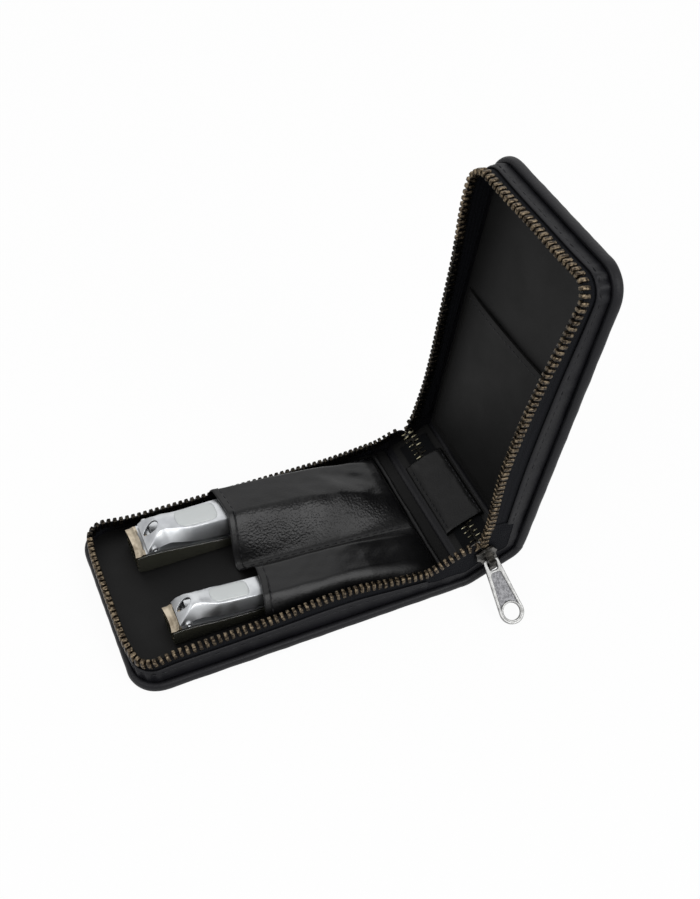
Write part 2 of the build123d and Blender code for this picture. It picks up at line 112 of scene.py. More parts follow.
def onHalf(halfName, u, y, n):
    """Point of the base or the lid at u from its fold line."""
    return wrap(-np.asarray(u, float) if halfName == "base" else case["spine"] + np.asarray(u, float), y, n)


arcRun = (case["corner"] - case["rowInset"]) * math.pi / 2
straightRun = case["length"] - case["corner"]
endRun = case["width"] - 2 * case["corner"]
wholeRun = 2 * straightRun + 2 * arcRun + endRun


def outline(run, inset):
    """u, y and heading on a half's outline drawn in by inset.

    run is measured along the zip's line, from the fold on the near side over
    the free end to the fold on the far side: straight, quarter circle,
    straight, quarter circle, straight.
    """
    run, inset = np.broadcast_arrays(np.asarray(run, float), np.asarray(inset, float))
    corner = case["corner"]
    radius = np.maximum(corner - inset, 0)
    centre = np.maximum(corner, inset)
    first = np.clip((run - straightRun) / arcRun, 0, 1) * math.pi / 2
    second = np.clip((run - straightRun - arcRun - endRun) / arcRun, 0, 1) * math.pi / 2
    turned = first + second
    across = np.clip(run - straightRun - arcRun, 0, endRun) / endRun
    u = case["length"] - centre + radius * np.sin(turned)
    u = u + np.minimum(run - straightRun, 0) - np.maximum(run - wholeRun + straightRun, 0)
    y = (half - centre) * (2 * across - 1) - radius * np.cos(turned)
    return u, y, turned


def runSteps(start, stop, coarse=2.0, fine=0.8):
    """Places along a half's outline, closer together round the corners."""
    knots = [start]
    while knots[-1] < stop - 1e-6:
        here = knots[-1]
        nearCorner = min(abs(here - straightRun - arcRun / 2), abs(here - wholeRun + straightRun + arcRun / 2))
        knots.append(min(stop, here + (fine if nearCorner < arcRun / 2 + 2 else coarse)))
    return np.array(knots)


def gridFaces(rows, columns, closeColumns=False, closeRows=False):
    i = np.arange(rows if closeRows else rows - 1)[:, None]
    j = np.arange(columns if closeColumns else columns - 1)[None, :]
    up = (i + 1) % rows
    right = (j + 1) % columns
    corners = [i * columns + j, i * columns + right, up * columns + right, up * columns + j]
    return np.stack(np.broadcast_arrays(*corners), -1).reshape(-1, 4).tolist()


def newPiece(name, points, faces, body, material, slot=None, uv=None, sharp=50.0, clean=True):
    """Mesh object from points in millimetres, smooth but for edges above the sharp angle."""
    points = np.asarray(points, float).reshape(-1, 3)
    mesh = bpy.data.meshes.new(name)
    mesh.from_pydata((points / 1000).tolist(), [], faces)
    if uv is not None:
        layer = mesh.uv_layers.new(name="UVMap")
        loops = np.empty(len(mesh.loops), dtype=np.int32)
        mesh.loops.foreach_get("vertex_index", loops)
        layer.data.foreach_set("uv", np.asarray(uv, float).reshape(-1, 2)[loops].ravel())
    if clean:
        work = bmesh.new()
        work.from_mesh(mesh)
        bmesh.ops.remove_doubles(work, verts=work.verts, dist=2e-6)
        bmesh.ops.recalc_face_normals(work, faces=work.faces)
        work.to_mesh(mesh)
        work.free()
    mesh.shade_smooth()
    mesh.set_sharp_from_angle(angle=math.radians(sharp))
    mesh.materials.append(material)
    piece = bpy.data.objects.new(name, mesh)
    bpy.context.scene.collection.objects.link(piece)
    if body:
        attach(piece, body)
    return piece


def sweep(name, stations, body, material, slot=None, uv=None, sharp=50.0):
    """Closed profile carried along a path: stations is (path, profile, 3), ends capped."""
    rows, columns = stations.shape[:2]
    faces = gridFaces(rows, columns, closeColumns=True)
    faces += [list(range(columns)), list(range((rows - 1) * columns, rows * columns))]
    return newPiece(name, stations, faces, body, material, slot, uv, sharp)


def bridge(halfName, runs, profile):
    """Stations of a profile of (inset, n) pairs carried round a half."""
    inset, n = np.array(profile, float).T
    u, y, _ = outline(runs[:, None], inset[None, :])
    return onHalf(halfName, u, y, np.broadcast_to(n, u.shape))


def rounded(points, radius, steps=4):
    """Closed outline with each corner replaced by a quadratic curve of the given reach."""
    points = np.array(points, float)
    reach = np.broadcast_to(np.asarray(radius, float), (len(points),))
    before = points - np.roll(points, 1, 0)
    after = np.roll(points, -1, 0) - points
    lengthBefore = np.linalg.norm(before, axis=1)
    lengthAfter = np.linalg.norm(after, axis=1)
    start = points - before / lengthBefore[:, None] * np.minimum(reach, lengthBefore * 0.48)[:, None]
    stop = points + after / lengthAfter[:, None] * np.minimum(reach, lengthAfter * 0.48)[:, None]
    t = np.linspace(0, 1, steps + 1)[None, :, None]
    curve = (1 - t) ** 2 * start[:, None] + 2 * t * (1 - t) * points[:, None] + t ** 2 * stop[:, None]
    return curve.reshape(-1, points.shape[1])


def smoothLine(x, knots, passes=14):
    # piecewise line through the knots, softened by repeated means
    fine = np.linspace(knots[0][0], knots[-1][0], 300)
    line = np.interp(fine, *np.array(knots, float).T)
    for _ in range(passes):
        line[1:-1] = 0.5 * line[1:-1] + 0.25 * (line[2:] + line[:-2])
    return np.interp(x, fine, line)


def sheetFaces(rows, columns):
    # faces of a sheet whose upper grid is followed by its lower one, with the rim between them
    count = rows * columns
    grid = np.arange(count).reshape(rows, columns)
    ring = np.concatenate([grid[0], grid[1:, -1], grid[-1, -2::-1], grid[-2:0:-1, 0]])
    faces = gridFaces(rows, columns)
    faces = faces + [[i + count for i in face] for face in faces]
    return faces + np.stack([ring, np.roll(ring, -1), np.roll(ring, -1) + count, ring + count], -1).tolist()


def twoSided(name, upper, lower, *looks, **more):
    rows, columns = upper.shape[:2]
    return newPiece(name, np.concatenate([upper.reshape(-1, 3), lower.reshape(-1, 3)]), sheetFaces(rows, columns), *looks, **more)


def cutOut(piece, knife):
    # the knife's space is taken out of the piece and the knife removed
    cut = piece.modifiers.new("hole", "BOOLEAN")
    cut.object = knife
    cut.operation = "DIFFERENCE"
    cut.solver = "EXACT"
    bpy.context.view_layer.update()
    shaped = bpy.data.meshes.new_from_object(piece.evaluated_get(bpy.context.evaluated_depsgraph_get()))
    piece.modifiers.clear()
    piece.data = shaped
    bpy.data.objects.remove(knife)


def turned(profile, centre, axis, count=28):
    # profile of (radius, height) pairs turned about an axis through the centre; ends closed
    axis = unit(np.asarray(axis, float))
    side = unit(np.cross(axis, [0.3, 0.5, 0.81]))
    other = np.cross(axis, side)
    turn = np.linspace(0, 2 * math.pi, count, endpoint=False)
    radius, height = np.array(profile, float).T
    ring = np.cos(turn)[None, :, None] * side + np.sin(turn)[None, :, None] * other
    points = np.asarray(centre, float) + height[:, None, None] * axis + radius[:, None, None] * ring
    rows = len(profile)
    return points, gridFaces(rows, count, closeColumns=True) + [list(range(count)), list(range((rows - 1) * count, rows * count))]


def unit(v):
    return v / np.linalg.norm(v, axis=-1, keepdims=True)


def repeated(points):
    # faces of many like tubes: points is (copies, rings, places, 3), each tube closed at both ends
    copies, rings, places = points.shape[:3]
    one = gridFaces(rings, places, closeColumns=True) + [list(range(places)), list(range((rings - 1) * places, rings * places))]
    return [[i + k * rings * places for i in face] for k in range(copies) for face in one]


def along(path, at):
    # places on a path of points, by distance travelled
    steps = np.concatenate([[0], np.cumsum(np.linalg.norm(np.diff(path, axis=0), axis=1))])
    return np.stack([np.interp(at, steps, path[:, k]) for k in range(3)], -1), steps[-1]


def noise(points, size, seed):
    """Smooth noise in -1 to 1: a sum of sines in seeded directions, one wave to each size."""
    rng = np.random.default_rng(seed)
    total = np.zeros(points.shape[:-1])
    for _ in range(12):
        direction = rng.normal(size=points.shape[-1])
        direction /= np.linalg.norm(direction)
        wave = 2 * math.pi / size * rng.uniform(0.6, 1.6)
        total = total + np.sin(points @ direction * wave + rng.uniform(0, 2 * math.pi))
    return total / 5


def ease(t):
    t = np.clip(t, 0, 1)
    return t * t * (3 - 2 * t)


# --------------------------------------------------------------- materials
def tone(code):
    """sRGB hex to linear colour."""
    parts = [int(code[i:i + 2], 16) / 255 for i in (1, 3, 5)]
    return tuple(c / 12.92 if c <= 0.04045 else ((c + 0.055) / 1.055) ** 2.4 for c in parts) + (1.0,)


def addNode(tree, kind, sockets=None, **settings):
    """Adds a node; a socket takes a value, or a (node, output) pair that is linked."""
    made = tree.nodes.new(kind)
    for key, value in settings.items():
        setattr(made, key, value)
    for key, value in (sockets or {}).items():
        if isinstance(value, tuple) and isinstance(value[0], bpy.types.Node):
            tree.links.new(value[0].outputs[value[1]], made.inputs[key])
        else:
            made.inputs[key].default_value = value
    return made


def newMaterial(name):
    made = bpy.data.materials.new(name)
    made.use_nodes = True
    made.node_tree.nodes.clear()
    return made, made.node_tree


def leather(name, dark, light, roughness, grain, depth, specular=0.4, opens=None):
    # pigmented leather: a pebbled grain of small cells, finer pores between them, and a slow change
    # of tone; where the attribute named by opens is high the grain stands out more
    made, tree = newMaterial(name)
    place = addNode(tree, "ShaderNodeTexCoord")
    cells = addNode(tree, "ShaderNodeTexVoronoi", {"Vector": (place, "Object"), "Scale": 1000 / grain, "Randomness": 0.9}, feature="SMOOTH_F1")
    fine = addNode(tree, "ShaderNodeTexNoise", {"Vector": (place, "Object"), "Scale": 1000 / (grain * 0.45), "Detail": 3.0})
    broad = addNode(tree, "ShaderNodeTexNoise", {"Vector": (place, "Object"), "Scale": 1000 / 14.0, "Detail": 4.0})
    tint = addNode(tree, "ShaderNodeMix", {"Factor": (broad, "Fac"), "A": tone(dark), "B": tone(light)}, data_type="RGBA")
    shine = addNode(tree, "ShaderNodeMapRange", {"Value": (broad, "Fac"), "From Min": 0.3, "From Max": 0.7, "To Min": roughness - 0.06, "To Max": roughness + 0.06})
    strength = depth
    if opens:
        where = addNode(tree, "ShaderNodeAttribute", attribute_name=opens)
        strength = (addNode(tree, "ShaderNodeMapRange", {"Value": (where, "Fac"), "To Min": depth, "To Max": min(1.0, depth * 5)}), "Result")
    first = addNode(tree, "ShaderNodeBump", {"Height": (cells, "Distance"), "Strength": strength, "Distance": 0.00022})
    second = addNode(tree, "ShaderNodeBump", {"Height": (fine, "Fac"), "Strength": depth * 0.6, "Distance": 0.00008, "Normal": (first, "Normal")})
    skin = addNode(tree, "ShaderNodeBsdfPrincipled", {
        "Base Color": (tint, "Result"), "Roughness": (shine, "Result"), "IOR": 1.5, "Specular IOR Level": specular, "Normal": (second, "Normal")})
    addNode(tree, "ShaderNodeOutputMaterial", {"Surface": (skin, "BSDF")})
    return made


# pigmented calf leather, rolled and pressed: near black, a broad dull shine along the rolled edges
coverLeather = leather("calfCover", "#0a0a0d", "#131317", 0.48, 0.6, 0.3, specular=0.19)
# thinner glazed leather of the sleeves: smooth and soft, its grain opened where it is stretched
sleeveLeather = leather("glazedSleeve", "#080809", "#0f0f10", 0.34, 0.75, 0.16, specular=0.24, opens="stretch")
strapLeather = leather("strapCalf", "#090909", "#111112", 0.42, 0.6, 0.3, specular=0.17)
# smooth lining leather: matt, almost without grain
liningLeather = leather("liningSkiver", "#111111", "#171717", 0.6, 0.4, 0.1, specular=0.14)
# pressed card under the skins
cardMade, cardTree = newMaterial("pressedCard")
cardShader = addNode(cardTree, "ShaderNodeBsdfPrincipled", {"Base Color": tone("#2b2926"), "Roughness": 0.9})
addNode(cardTree, "ShaderNodeOutputMaterial", {"Surface": (cardShader, "BSDF")})

# polyester zip tape: woven in ribs across its length, blue-black and dull
zipTape, tapeTree = newMaterial("wovenTape")
tapePlace = addNode(tapeTree, "ShaderNodeTexCoord")
ribs = addNode(tapeTree, "ShaderNodeTexWave", {"Vector": (tapePlace, "UV"), "Scale": 0.5, "Distortion": 0.4}, bands_direction="X")
warp = addNode(tapeTree, "ShaderNodeTexWave", {"Vector": (tapePlace, "UV"), "Scale": 0.35, "Distortion": 0.3}, bands_direction="Y")
weave = addNode(tapeTree, "ShaderNodeMath", {0: (ribs, "Fac"), 1: (warp, "Fac")}, operation="ADD")
tapeTint = addNode(tapeTree, "ShaderNodeMix", {"Factor": (weave, "Value"), "A": tone("#060709"), "B": tone("#0d0e12")}, data_type="RGBA")
tapeBump = addNode(tapeTree, "ShaderNodeBump", {"Height": (weave, "Value"), "Strength": 0.5, "Distance": 0.00015})
tapeShader = addNode(tapeTree, "ShaderNodeBsdfPrincipled", {"Base Color": (tapeTint, "Result"), "Roughness": 0.8, "Specular IOR Level": 0.1, "Normal": (tapeBump, "Normal")})
addNode(tapeTree, "ShaderNodeOutputMaterial", {"Surface": (tapeShader, "BSDF")})

# waxed polyester thread, a little paler than the leather it holds
thread, threadTree = newMaterial("waxedThread")
threadShader = addNode(threadTree, "ShaderNodeBsdfPrincipled", {"Base Color": tone("#19191c"), "Roughness": 0.5, "Specular IOR Level": 0.25})
addNode(threadTree, "ShaderNodeOutputMaterial", {"Surface": (threadShader, "BSDF")})


def metal(name, colour, worn, roughness, streak=None, wearSize=1.5, low=0.45, high=0.62):
    """Metal whose polish and colour change over patches; streak gives it a brushed direction."""
    made, tree = newMaterial(name)
    place = addNode(tree, "ShaderNodeTexCoord")
    patches = addNode(tree, "ShaderNodeTexNoise", {"Vector": (place, "Object"), "Scale": 1000 / wearSize, "Detail": 4.0})
    share = addNode(tree, "ShaderNodeMapRange", {"Value": (patches, "Fac"), "From Min": low, "From Max": high})
    tint = addNode(tree, "ShaderNodeMix", {"Factor": (share, "Result"), "A": tone(colour), "B": tone(worn)}, data_type="RGBA")
    shine = addNode(tree, "ShaderNodeMapRange", {"Value": (patches, "Fac"), "From Min": 0.3, "From Max": 0.7, "To Min": roughness * 0.8, "To Max": roughness * 1.25})
    sockets = {"Base Color": (tint, "Result"), "Metallic": 1.0, "Roughness": (shine, "Result")}
    if streak:
        turned = addNode(tree, "ShaderNodeMapping", {"Vector": (place, "Object"), "Scale": streak})
        lines = addNode(tree, "ShaderNodeTexNoise", {"Vector": (turned, "Vector"), "Scale": 1000.0, "Detail": 2.0})
        scratch = addNode(tree, "ShaderNodeBump", {"Height": (lines, "Fac"), "Strength": 0.12, "Distance": 0.00004})
        sockets["Normal"] = (scratch, "Normal")
    shader = addNode(tree, "ShaderNodeBsdfPrincipled", sockets)
    addNode(tree, "ShaderNodeOutputMaterial", {"Surface": (shader, "BSDF")})
    return made


# antique brass wire, stamped and tumbled: dark in the hollows, golden where rubbed
antiqueBrass = metal("antiqueBrass", "#2c2620", "#7b6e5b", 0.4, wearSize=0.9, low=0.42, high=0.66)
# painted shade: the far rows' teeth, seen from their shaded side, get a near black brass with small paler spots
farShadeBrass = metal("farShadeBrass", "#12110f", "#4a443b", 0.4, wearSize=0.9, low=0.46, high=0.74)
# the same brass for the chain under the strap: almost black as painted shade, with pale patches as painted glints
chainShadeGlintBrass = metal("chainShadeGlintBrass", "#1a1814", "#9d987f", 0.36, wearSize=2.6, low=0.44, high=0.58)
# die-cast zinc with worn nickel plate
wornNickel = metal("wornNickel", "#939392", "#828281", 0.34, wearSize=1.8)
sliderNickel = metal("sliderNickel", "#454442", "#6f6d69", 0.32, wearSize=1.6)
# the sunk face of the pull, tumbled: darker, with a fine grit
tumbledNickel = metal("tumbledNickel", "#6c6c6e", "#5b5b5d", 0.42, streak=(1.6, 1.6, 0.4), wearSize=0.8)
# carbon steel, ground and plated: satin with soft streaks along the length
satinSteel = metal("satinSteel", "#b0b2b4", "#a1a3a6", 0.38, streak=(0.05, 1.2, 1.2), wearSize=6.0)
# polished cutting edge, a little warmer
bladeSteel = metal("groundBlade", "#a59b8a", "#7c7263", 0.34, streak=(1.2, 0.05, 1.2), wearSize=4.0)

# smoked polycarbonate of the clipping catcher
smokePlastic, smokeTree = newMaterial("smokedPolycarbonate")
smokeShader = addNode(smokeTree, "ShaderNodeBsdfPrincipled", {
    "Base Color": tone("#45453c"), "Roughness": 0.26, "IOR": 1.58, "Transmission Weight": 0.55,
})
addNode(smokeTree, "ShaderNodeOutputMaterial", {"Surface": (smokeShader, "BSDF")})

# domed resin plate
paleResin, resinTree = newMaterial("domedResin")
resinShader = addNode(resinTree, "ShaderNodeBsdfPrincipled", {"Base Color": tone("#bfc3c3"), "Roughness": 0.3, "IOR": 1.5, "Coat Weight": 0.4, "Coat Roughness": 0.08})
addNode(resinTree, "ShaderNodeOutputMaterial", {"Surface": (resinShader, "BSDF")})

threadShape = {"length": 2.1, "gap": 0.9, "radius": 0.19}


def stitches(name, path, lift, body, slot, **change):
    # short threads end to end along a path: a tube round each, thin and sunk at both ends
    shape = {**threadShape, **change}
    _, whole = along(path, 0)
    starts = np.arange(shape["gap"] / 2, whole - shape["length"], shape["length"] + shape["gap"])
    share = np.array([0, 0.1, 0.32, 0.68, 0.9, 1.0])
    swell = np.array([0.3, 0.8, 1.0, 1.0, 0.8, 0.3])
    at = starts[:, None] + shape["length"] * share[None, :]
    centre, _ = along(path, at)
    ahead, _ = along(path, at + 0.2)
    behind, _ = along(path, at - 0.2)
    way = unit(ahead - behind)
    steps = np.concatenate([[0], np.cumsum(np.linalg.norm(np.diff(path, axis=0), axis=1))])
    up = np.stack([np.interp(at, steps, np.broadcast_to(lift, path.shape)[:, k]) for k in range(3)], -1)
    up = unit(up - way * (up * way).sum(-1, keepdims=True))
    side = np.cross(up, way)
    turn = np.linspace(0, 2 * math.pi, 5, endpoint=False)
    radius = shape["radius"] * swell[None, :, None, None]
    ring = np.cos(turn)[:, None] * side[..., None, :] + np.sin(turn)[:, None] * up[..., None, :]
    sunk = shape["radius"] * (1.3 * swell - 1.1)[None, :, None, None]
    points = centre[..., None, :] + radius * ring + sunk * up[..., None, :]
    return newPiece(name, points, repeated(points), body, thread, slot, sharp=80)


cadLooks = {
    "black_leather": coverLeather, "pocket_leather": sleeveLeather, "lining_leather": liningLeather, "card": cardMade,
    "zip_tape": zipTape, "zip_metal": chainShadeGlintBrass, "slider_metal": sliderNickel, "satin_steel": satinSteel,
    "smoke_plastic": smokePlastic, "plate_white": paleResin,
}
print("case: materials made")


# ------------------------------------------------------- covers of the case
shellShape = {
    "rim": rounded([(9.0, 0.0), (0.9, 0.0), (-0.05, 1.1), (-0.1, 2.6), (0.35, 3.75), (1.4, 4.0), (2.2, 3.5), (2.35, 1.4), (9.0, 1.2)],
                   [0.1, 1.4, 0.8, 0.8, 0.7, 0.6, 0.6, 0.4, 0.1]),
    "start": 2.6,           # where the fold's own skin takes over
    "plumpness": 0.12,      # rise and fall of the rolled edge, mm
}


def caseShell(halfName, node):
    """Rolled edge carried round the half, joined across by the flat skin."""
    runs = runSteps(shellShape["start"], wholeRun - shellShape["start"], 2.5, 0.7)
    grid = bridge(halfName, runs, shellShape["rim"])
    rows, columns = grid.shape[:2]
    swell = noise(np.stack([runs, runs * 0], -1), 9.0, 4) * shellShape["plumpness"]
    insetPull = np.clip(1 - np.array(shellShape["rim"])[:, 0] / 3, 0, 1)
    centre = bridge(halfName, runs, [(1.2, 2.0)])
    grid = grid + (grid - centre) * (swell[:, None] * insetPull[None, :])[..., None] * 0.5
    faces = gridFaces(rows, columns, closeColumns=True)
    faces += [list(range(columns)), list(range((rows - 1) * columns, rows * columns))]
    # the first and last point of the profile on each row
    outer = [i * columns for i in range(rows)]
    inner = [i * columns + columns - 1 for i in range(rows)]
    points = grid.reshape(-1, 3)
    skin = newPiece(halfName + "Shell", points, faces, halfName, coverLeather, "black_leather")
    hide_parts(node)
    # back panel: a slab inside the rolled edge, its corners on the same outline
    inset = 8.9
    u, y, _ = outline(runs, np.full(runs.shape, inset))
    uGrid = np.linspace(shellShape["start"], case["length"] - inset, 60)
    reach = half - inset
    yGrid = np.linspace(-reach, reach, 40)
    s, across = np.meshgrid(uGrid, yGrid, indexing="ij")
    low = onHalf(halfName, s, across, np.zeros(s.shape))
    high = onHalf(halfName, s, across, np.full(s.shape, 1.2))
    count = s.size
    ring = np.concatenate([np.arange(40), np.arange(1, 60) * 40 + 39, 59 * 40 + np.arange(38, -1, -1), np.arange(58, 0, -1) * 40])
    faces = gridFaces(60, 40) + [[a + count, b + count, c + count, d + count] for a, b, c, d in gridFaces(60, 40)]
    faces += np.stack([ring, np.roll(ring, -1), np.roll(ring, -1) + count, ring + count], -1).tolist()
    back = newPiece(halfName + "Back", np.concatenate([low.reshape(-1, 3), high.reshape(-1, 3)]), faces, halfName, coverLeather, "black_leather")
    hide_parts(node)


caseShell("base", "base_cover")
caseShell("lid", "lid_cover")


def skinProfile(top):
    """Cross-section of the skin between two rolled edges, as (y, n) pairs."""
    right = rounded([(0.9, 0.0), (-0.05, 1.1), (-0.1, 2.6), (0.35, 3.75), (1.4, 4.0), (2.2, 3.5), (2.5, top)],
                    [1.4, 0.8, 0.8, 0.7, 0.6, 0.6, 0.2])[:-5]
    near = np.stack([-(half - right[:, 0]), right[:, 1]], -1)
    far = np.stack([half - right[:, 0], right[:, 1]], -1)[::-1]
    inside = np.stack([np.linspace(-(half - 2.6), half - 2.6, 30), np.full(30, top)], -1)
    outside = np.stack([np.linspace(half - 3, -(half - 3), 30), np.zeros(30)], -1)
    return np.concatenate([near, inside, far, outside])


def skinAlong(name, start, stop, steps, top, body=None, bothBodies=None, node=None, sink=0.0):
    """The profile carried along s; sink lowers its inner face in a groove towards the middle."""
    profile = skinProfile(top)
    s = np.linspace(start, stop, steps)[:, None]
    y = np.broadcast_to(profile[:, 0], (steps, len(profile)))
    groove = np.sin(np.pi * (s - start) / (stop - start)) ** 2 * sink
    isInner = (np.abs(profile[:, 0]) < half - 2.55) & (profile[:, 1] > 0.5)
    n = profile[:, 1][None, :] - groove * isInner[None, :]
    piece = sweep(name, wrap(np.broadcast_to(s, y.shape), y, n), body, coverLeather, "black_leather", sharp=60)
    if bothBodies:
        a = wrap(start, 0, case["foldLevel"])
        b = wrap(stop, 0, case["foldLevel"])
        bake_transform(piece)
    if node:
        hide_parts(node)
    return piece


skinAlong("spineShell", 2.7, 17.6, 12, 1.3, body="spine", node="spine_cover")
skinAlong("baseFoldSkin", -2.7, 2.8, 15, 2.5, bothBodies=("base", "spine"), sink=0.5)
skinAlong("lidFoldSkin", 17.5, 22.2 + 2.7, 25, 2.5, bothBodies=("spine", "lid"), sink=0.9)
print("case: covers made")

# ------------------------------------------------------------- side walls
wallShape = {
    "gusset": rounded([(2.0, 1.3), (2.0, 6.6), (2.1, 7.4), (2.5, 7.65), (2.95, 7.3), (3.0, 6.4), (3.0, 1.3)], 0.35, 2),
    "gussetStart": 16.5,     # near side; beyond it the web to the slider takes over
    "gussetEnd": 7.0,        # far side
    "tapeInset": (3.0, 3.8),
    "tapeFoot": 5.0,
    "tapeTop": 9.6,
    "wrinkle": 0.16,
    "share": 0.35,           # of the row's rise that its leather wall takes
}


# How the soft walls stand: the row's rise over the pattern and its lean towards the middle of
# the half, both in mm, against the distance along the zip's line
stance = {
    "base": {
        "rise": [(17, 2.4), (30, 2.7), (40, 4.1), (50, 5.0), (60, 4.2), (70, 3.0), (90, 2.5), (112, 2.2), (122, 0.2), (126, 0), (174, 0), (186, -0.9), (289, -0.9)],
        "lean": [(17, 0), (40, 2.0), (112, 2.0), (118, 0.6), (128, -1.9), (168, -1.9), (182, 0.2), (192, 1.6), (270, 1.6), (289, 0)],
    },
    "lid": {
        "rise": [(17, 7.2), (25, 7.9), (35, 8.9), (44, 9.4), (52, 9.3), (61, 8.9), (74, 7.9), (85, 6.6), (96, 4.9), (105, 3.5), (112, 2.6), (124, 1.9),
                 (148, 1.8), (172, 2.6), (186, 4.0), (196, 3.5), (206, 2.4), (216, 1.7), (236, 1.1), (256, 0.3), (272, 0.2), (289, 1.8)],
        "lean": [(17, 0), (118, 0), (130, 0.9), (164, 0.9), (178, 0), (289, 0)],
    },
}


def atStance(halfName, key, runs):
    return smoothLine(runs, stance[halfName][key], 40)


def gussetWall(halfName):
    runs = runSteps(wallShape["gussetStart"], wholeRun - wallShape["gussetEnd"], 1.5, 0.5)
    profile = np.array(wallShape["gusset"])
    high = np.clip((profile[:, 1] - 1.3) / 8.3, 0, 1)
    lean = atStance(halfName, "lean", runs)[:, None] * high[None, :]
    u, y, turned = outline(runs[:, None], profile[None, :, 0] + lean)
    atCorner = np.exp(-((runs - straightRun - arcRun / 2) / 4.5) ** 2) + np.exp(-((runs - wholeRun + straightRun + arcRun / 2) / 4.5) ** 2)
    ripple = wallShape["wrinkle"] * noise(runs[:, None], 7.0, 11) + 0.06 * noise(runs[:, None], 2.6, 31) + atCorner * 0.75 * np.sin(runs * 1.9)
    belly = np.sin(np.pi * np.clip((profile[:, 1] - 3.2) / 4, 0, 1))
    out = ripple[:, None] * belly[None, :]
    n = profile[None, :, 1] + wallShape["share"] * atStance(halfName, "rise", runs)[:, None] * np.clip((profile[:, 1] - 3) / 4.6, 0, 1)[None, :]
    u = u + out * np.sin(turned)
    y = y - out * np.cos(turned)
    piece = sweep(halfName + "Gusset", onHalf(halfName, u, y, n), halfName, coverLeather, "black_leather")
    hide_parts(halfName + "_gusset")


gussetWall("base")
gussetWall("lid")


def tapeWall(name, halfName, start, stop):
    runs = runSteps(start, stop, 1.5, 0.6)
    low, high = wallShape["tapeFoot"], wallShape["tapeTop"]
    columns = 10
    height = np.linspace(low, high, columns)
    inset = np.concatenate([np.full(columns, wallShape["tapeInset"][0] + 0.05), np.full(columns, wallShape["tapeInset"][1] - 0.05)])
    n = np.concatenate([height, height[::-1]])
    lean = atStance(halfName, "lean", runs)[:, None] * ((n - 1.3) / (high - 1.3))[None, :]
    u, y, _ = outline(runs[:, None], inset[None, :] + lean)
    rise = atStance(halfName, "rise", runs)[:, None] * ((n - low) / (high - low))[None, :]
    points = onHalf(halfName, u, y, n[None, :] + rise)
    uv = np.stack([np.broadcast_to(runs[:, None], u.shape), np.broadcast_to(n[None, :], u.shape)], -1)
    piece = sweep(name, points, halfName, zipTape, "zip_tape", uv=uv)
    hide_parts(halfName + "_zipper_tape")
    return piece


# ------------------------------------------------------------------ teeth
tooth = {"pitch": 2.2, "depth": 2.4, "height": 3.0, "length": 1.3, "start": 17.0, "farEnd": 7.0}


def toothShape(leaning):
    # stamped tooth: rounded legs across the tape that narrow to a domed head, which leans along the row
    d, h = tooth["depth"] / 2, tooth["height"]
    outlineHere = rounded([(-d, 0), (d, 0), (d * 1.02, h * 0.55), (d * 0.86, h * 0.78), (d * 0.84, h), (-d * 0.84, h), (-d * 0.86, h * 0.78), (-d * 1.02, h * 0.55)],
                          [0.3, 0.3, 0.4, 0.2, 0.55, 0.55, 0.2, 0.4], 2)
    slices = []
    for along, scale in ((-0.5, 0.8), (-0.36, 0.97), (0.36, 0.97), (0.5, 0.8)):
        middle = np.array([0, h / 2])
        ring = (outlineHere - middle) * scale + middle
        slices.append(np.concatenate([ring, along * tooth["length"] + leaning * (ring[:, 1:] / h - 0.5)], 1))
    return np.stack(slices)


def toothRow(name, feet, heights, runs, body, looks=None, leaning=0.0):
    """Copies of one tooth; each is foot + across, height and run times its shape."""
    shape = toothShape(leaning)
    rows, columns = shape.shape[:2]
    flat = shape.reshape(-1, 3)
    across = np.cross(heights, runs)
    points = (feet[:, None, :] + flat[None, :, 0, None] * across[:, None, :]
              + flat[None, :, 1, None] * heights[:, None, :] + flat[None, :, 2, None] * runs[:, None, :])
    return newPiece(name, points, repeated(points.reshape(len(feet), rows, columns, 3)), body, looks or antiqueBrass, "zip_metal", sharp=55)


def rowFrames(halfName, runs):
    # foot, height and run direction of the teeth of a half's row
    def foot(at, lift):
        u, y, _ = outline(at, case["rowInset"] + atStance(halfName, "lean", at))
        return onHalf(halfName, u, y, case["rowFoot"] + atStance(halfName, "rise", at) + lift)
    feet = foot(runs, 0)
    along = unit(foot(runs + 0.3, 0) - foot(runs - 0.3, 0))
    height = unit(foot(runs, 1) - feet)
    height = unit(height - along * (height * along).sum(-1, keepdims=True))
    return feet, height, along


def spacedRuns(start, stop, offset=0.0):
    return np.arange(start + offset, stop, tooth["pitch"])
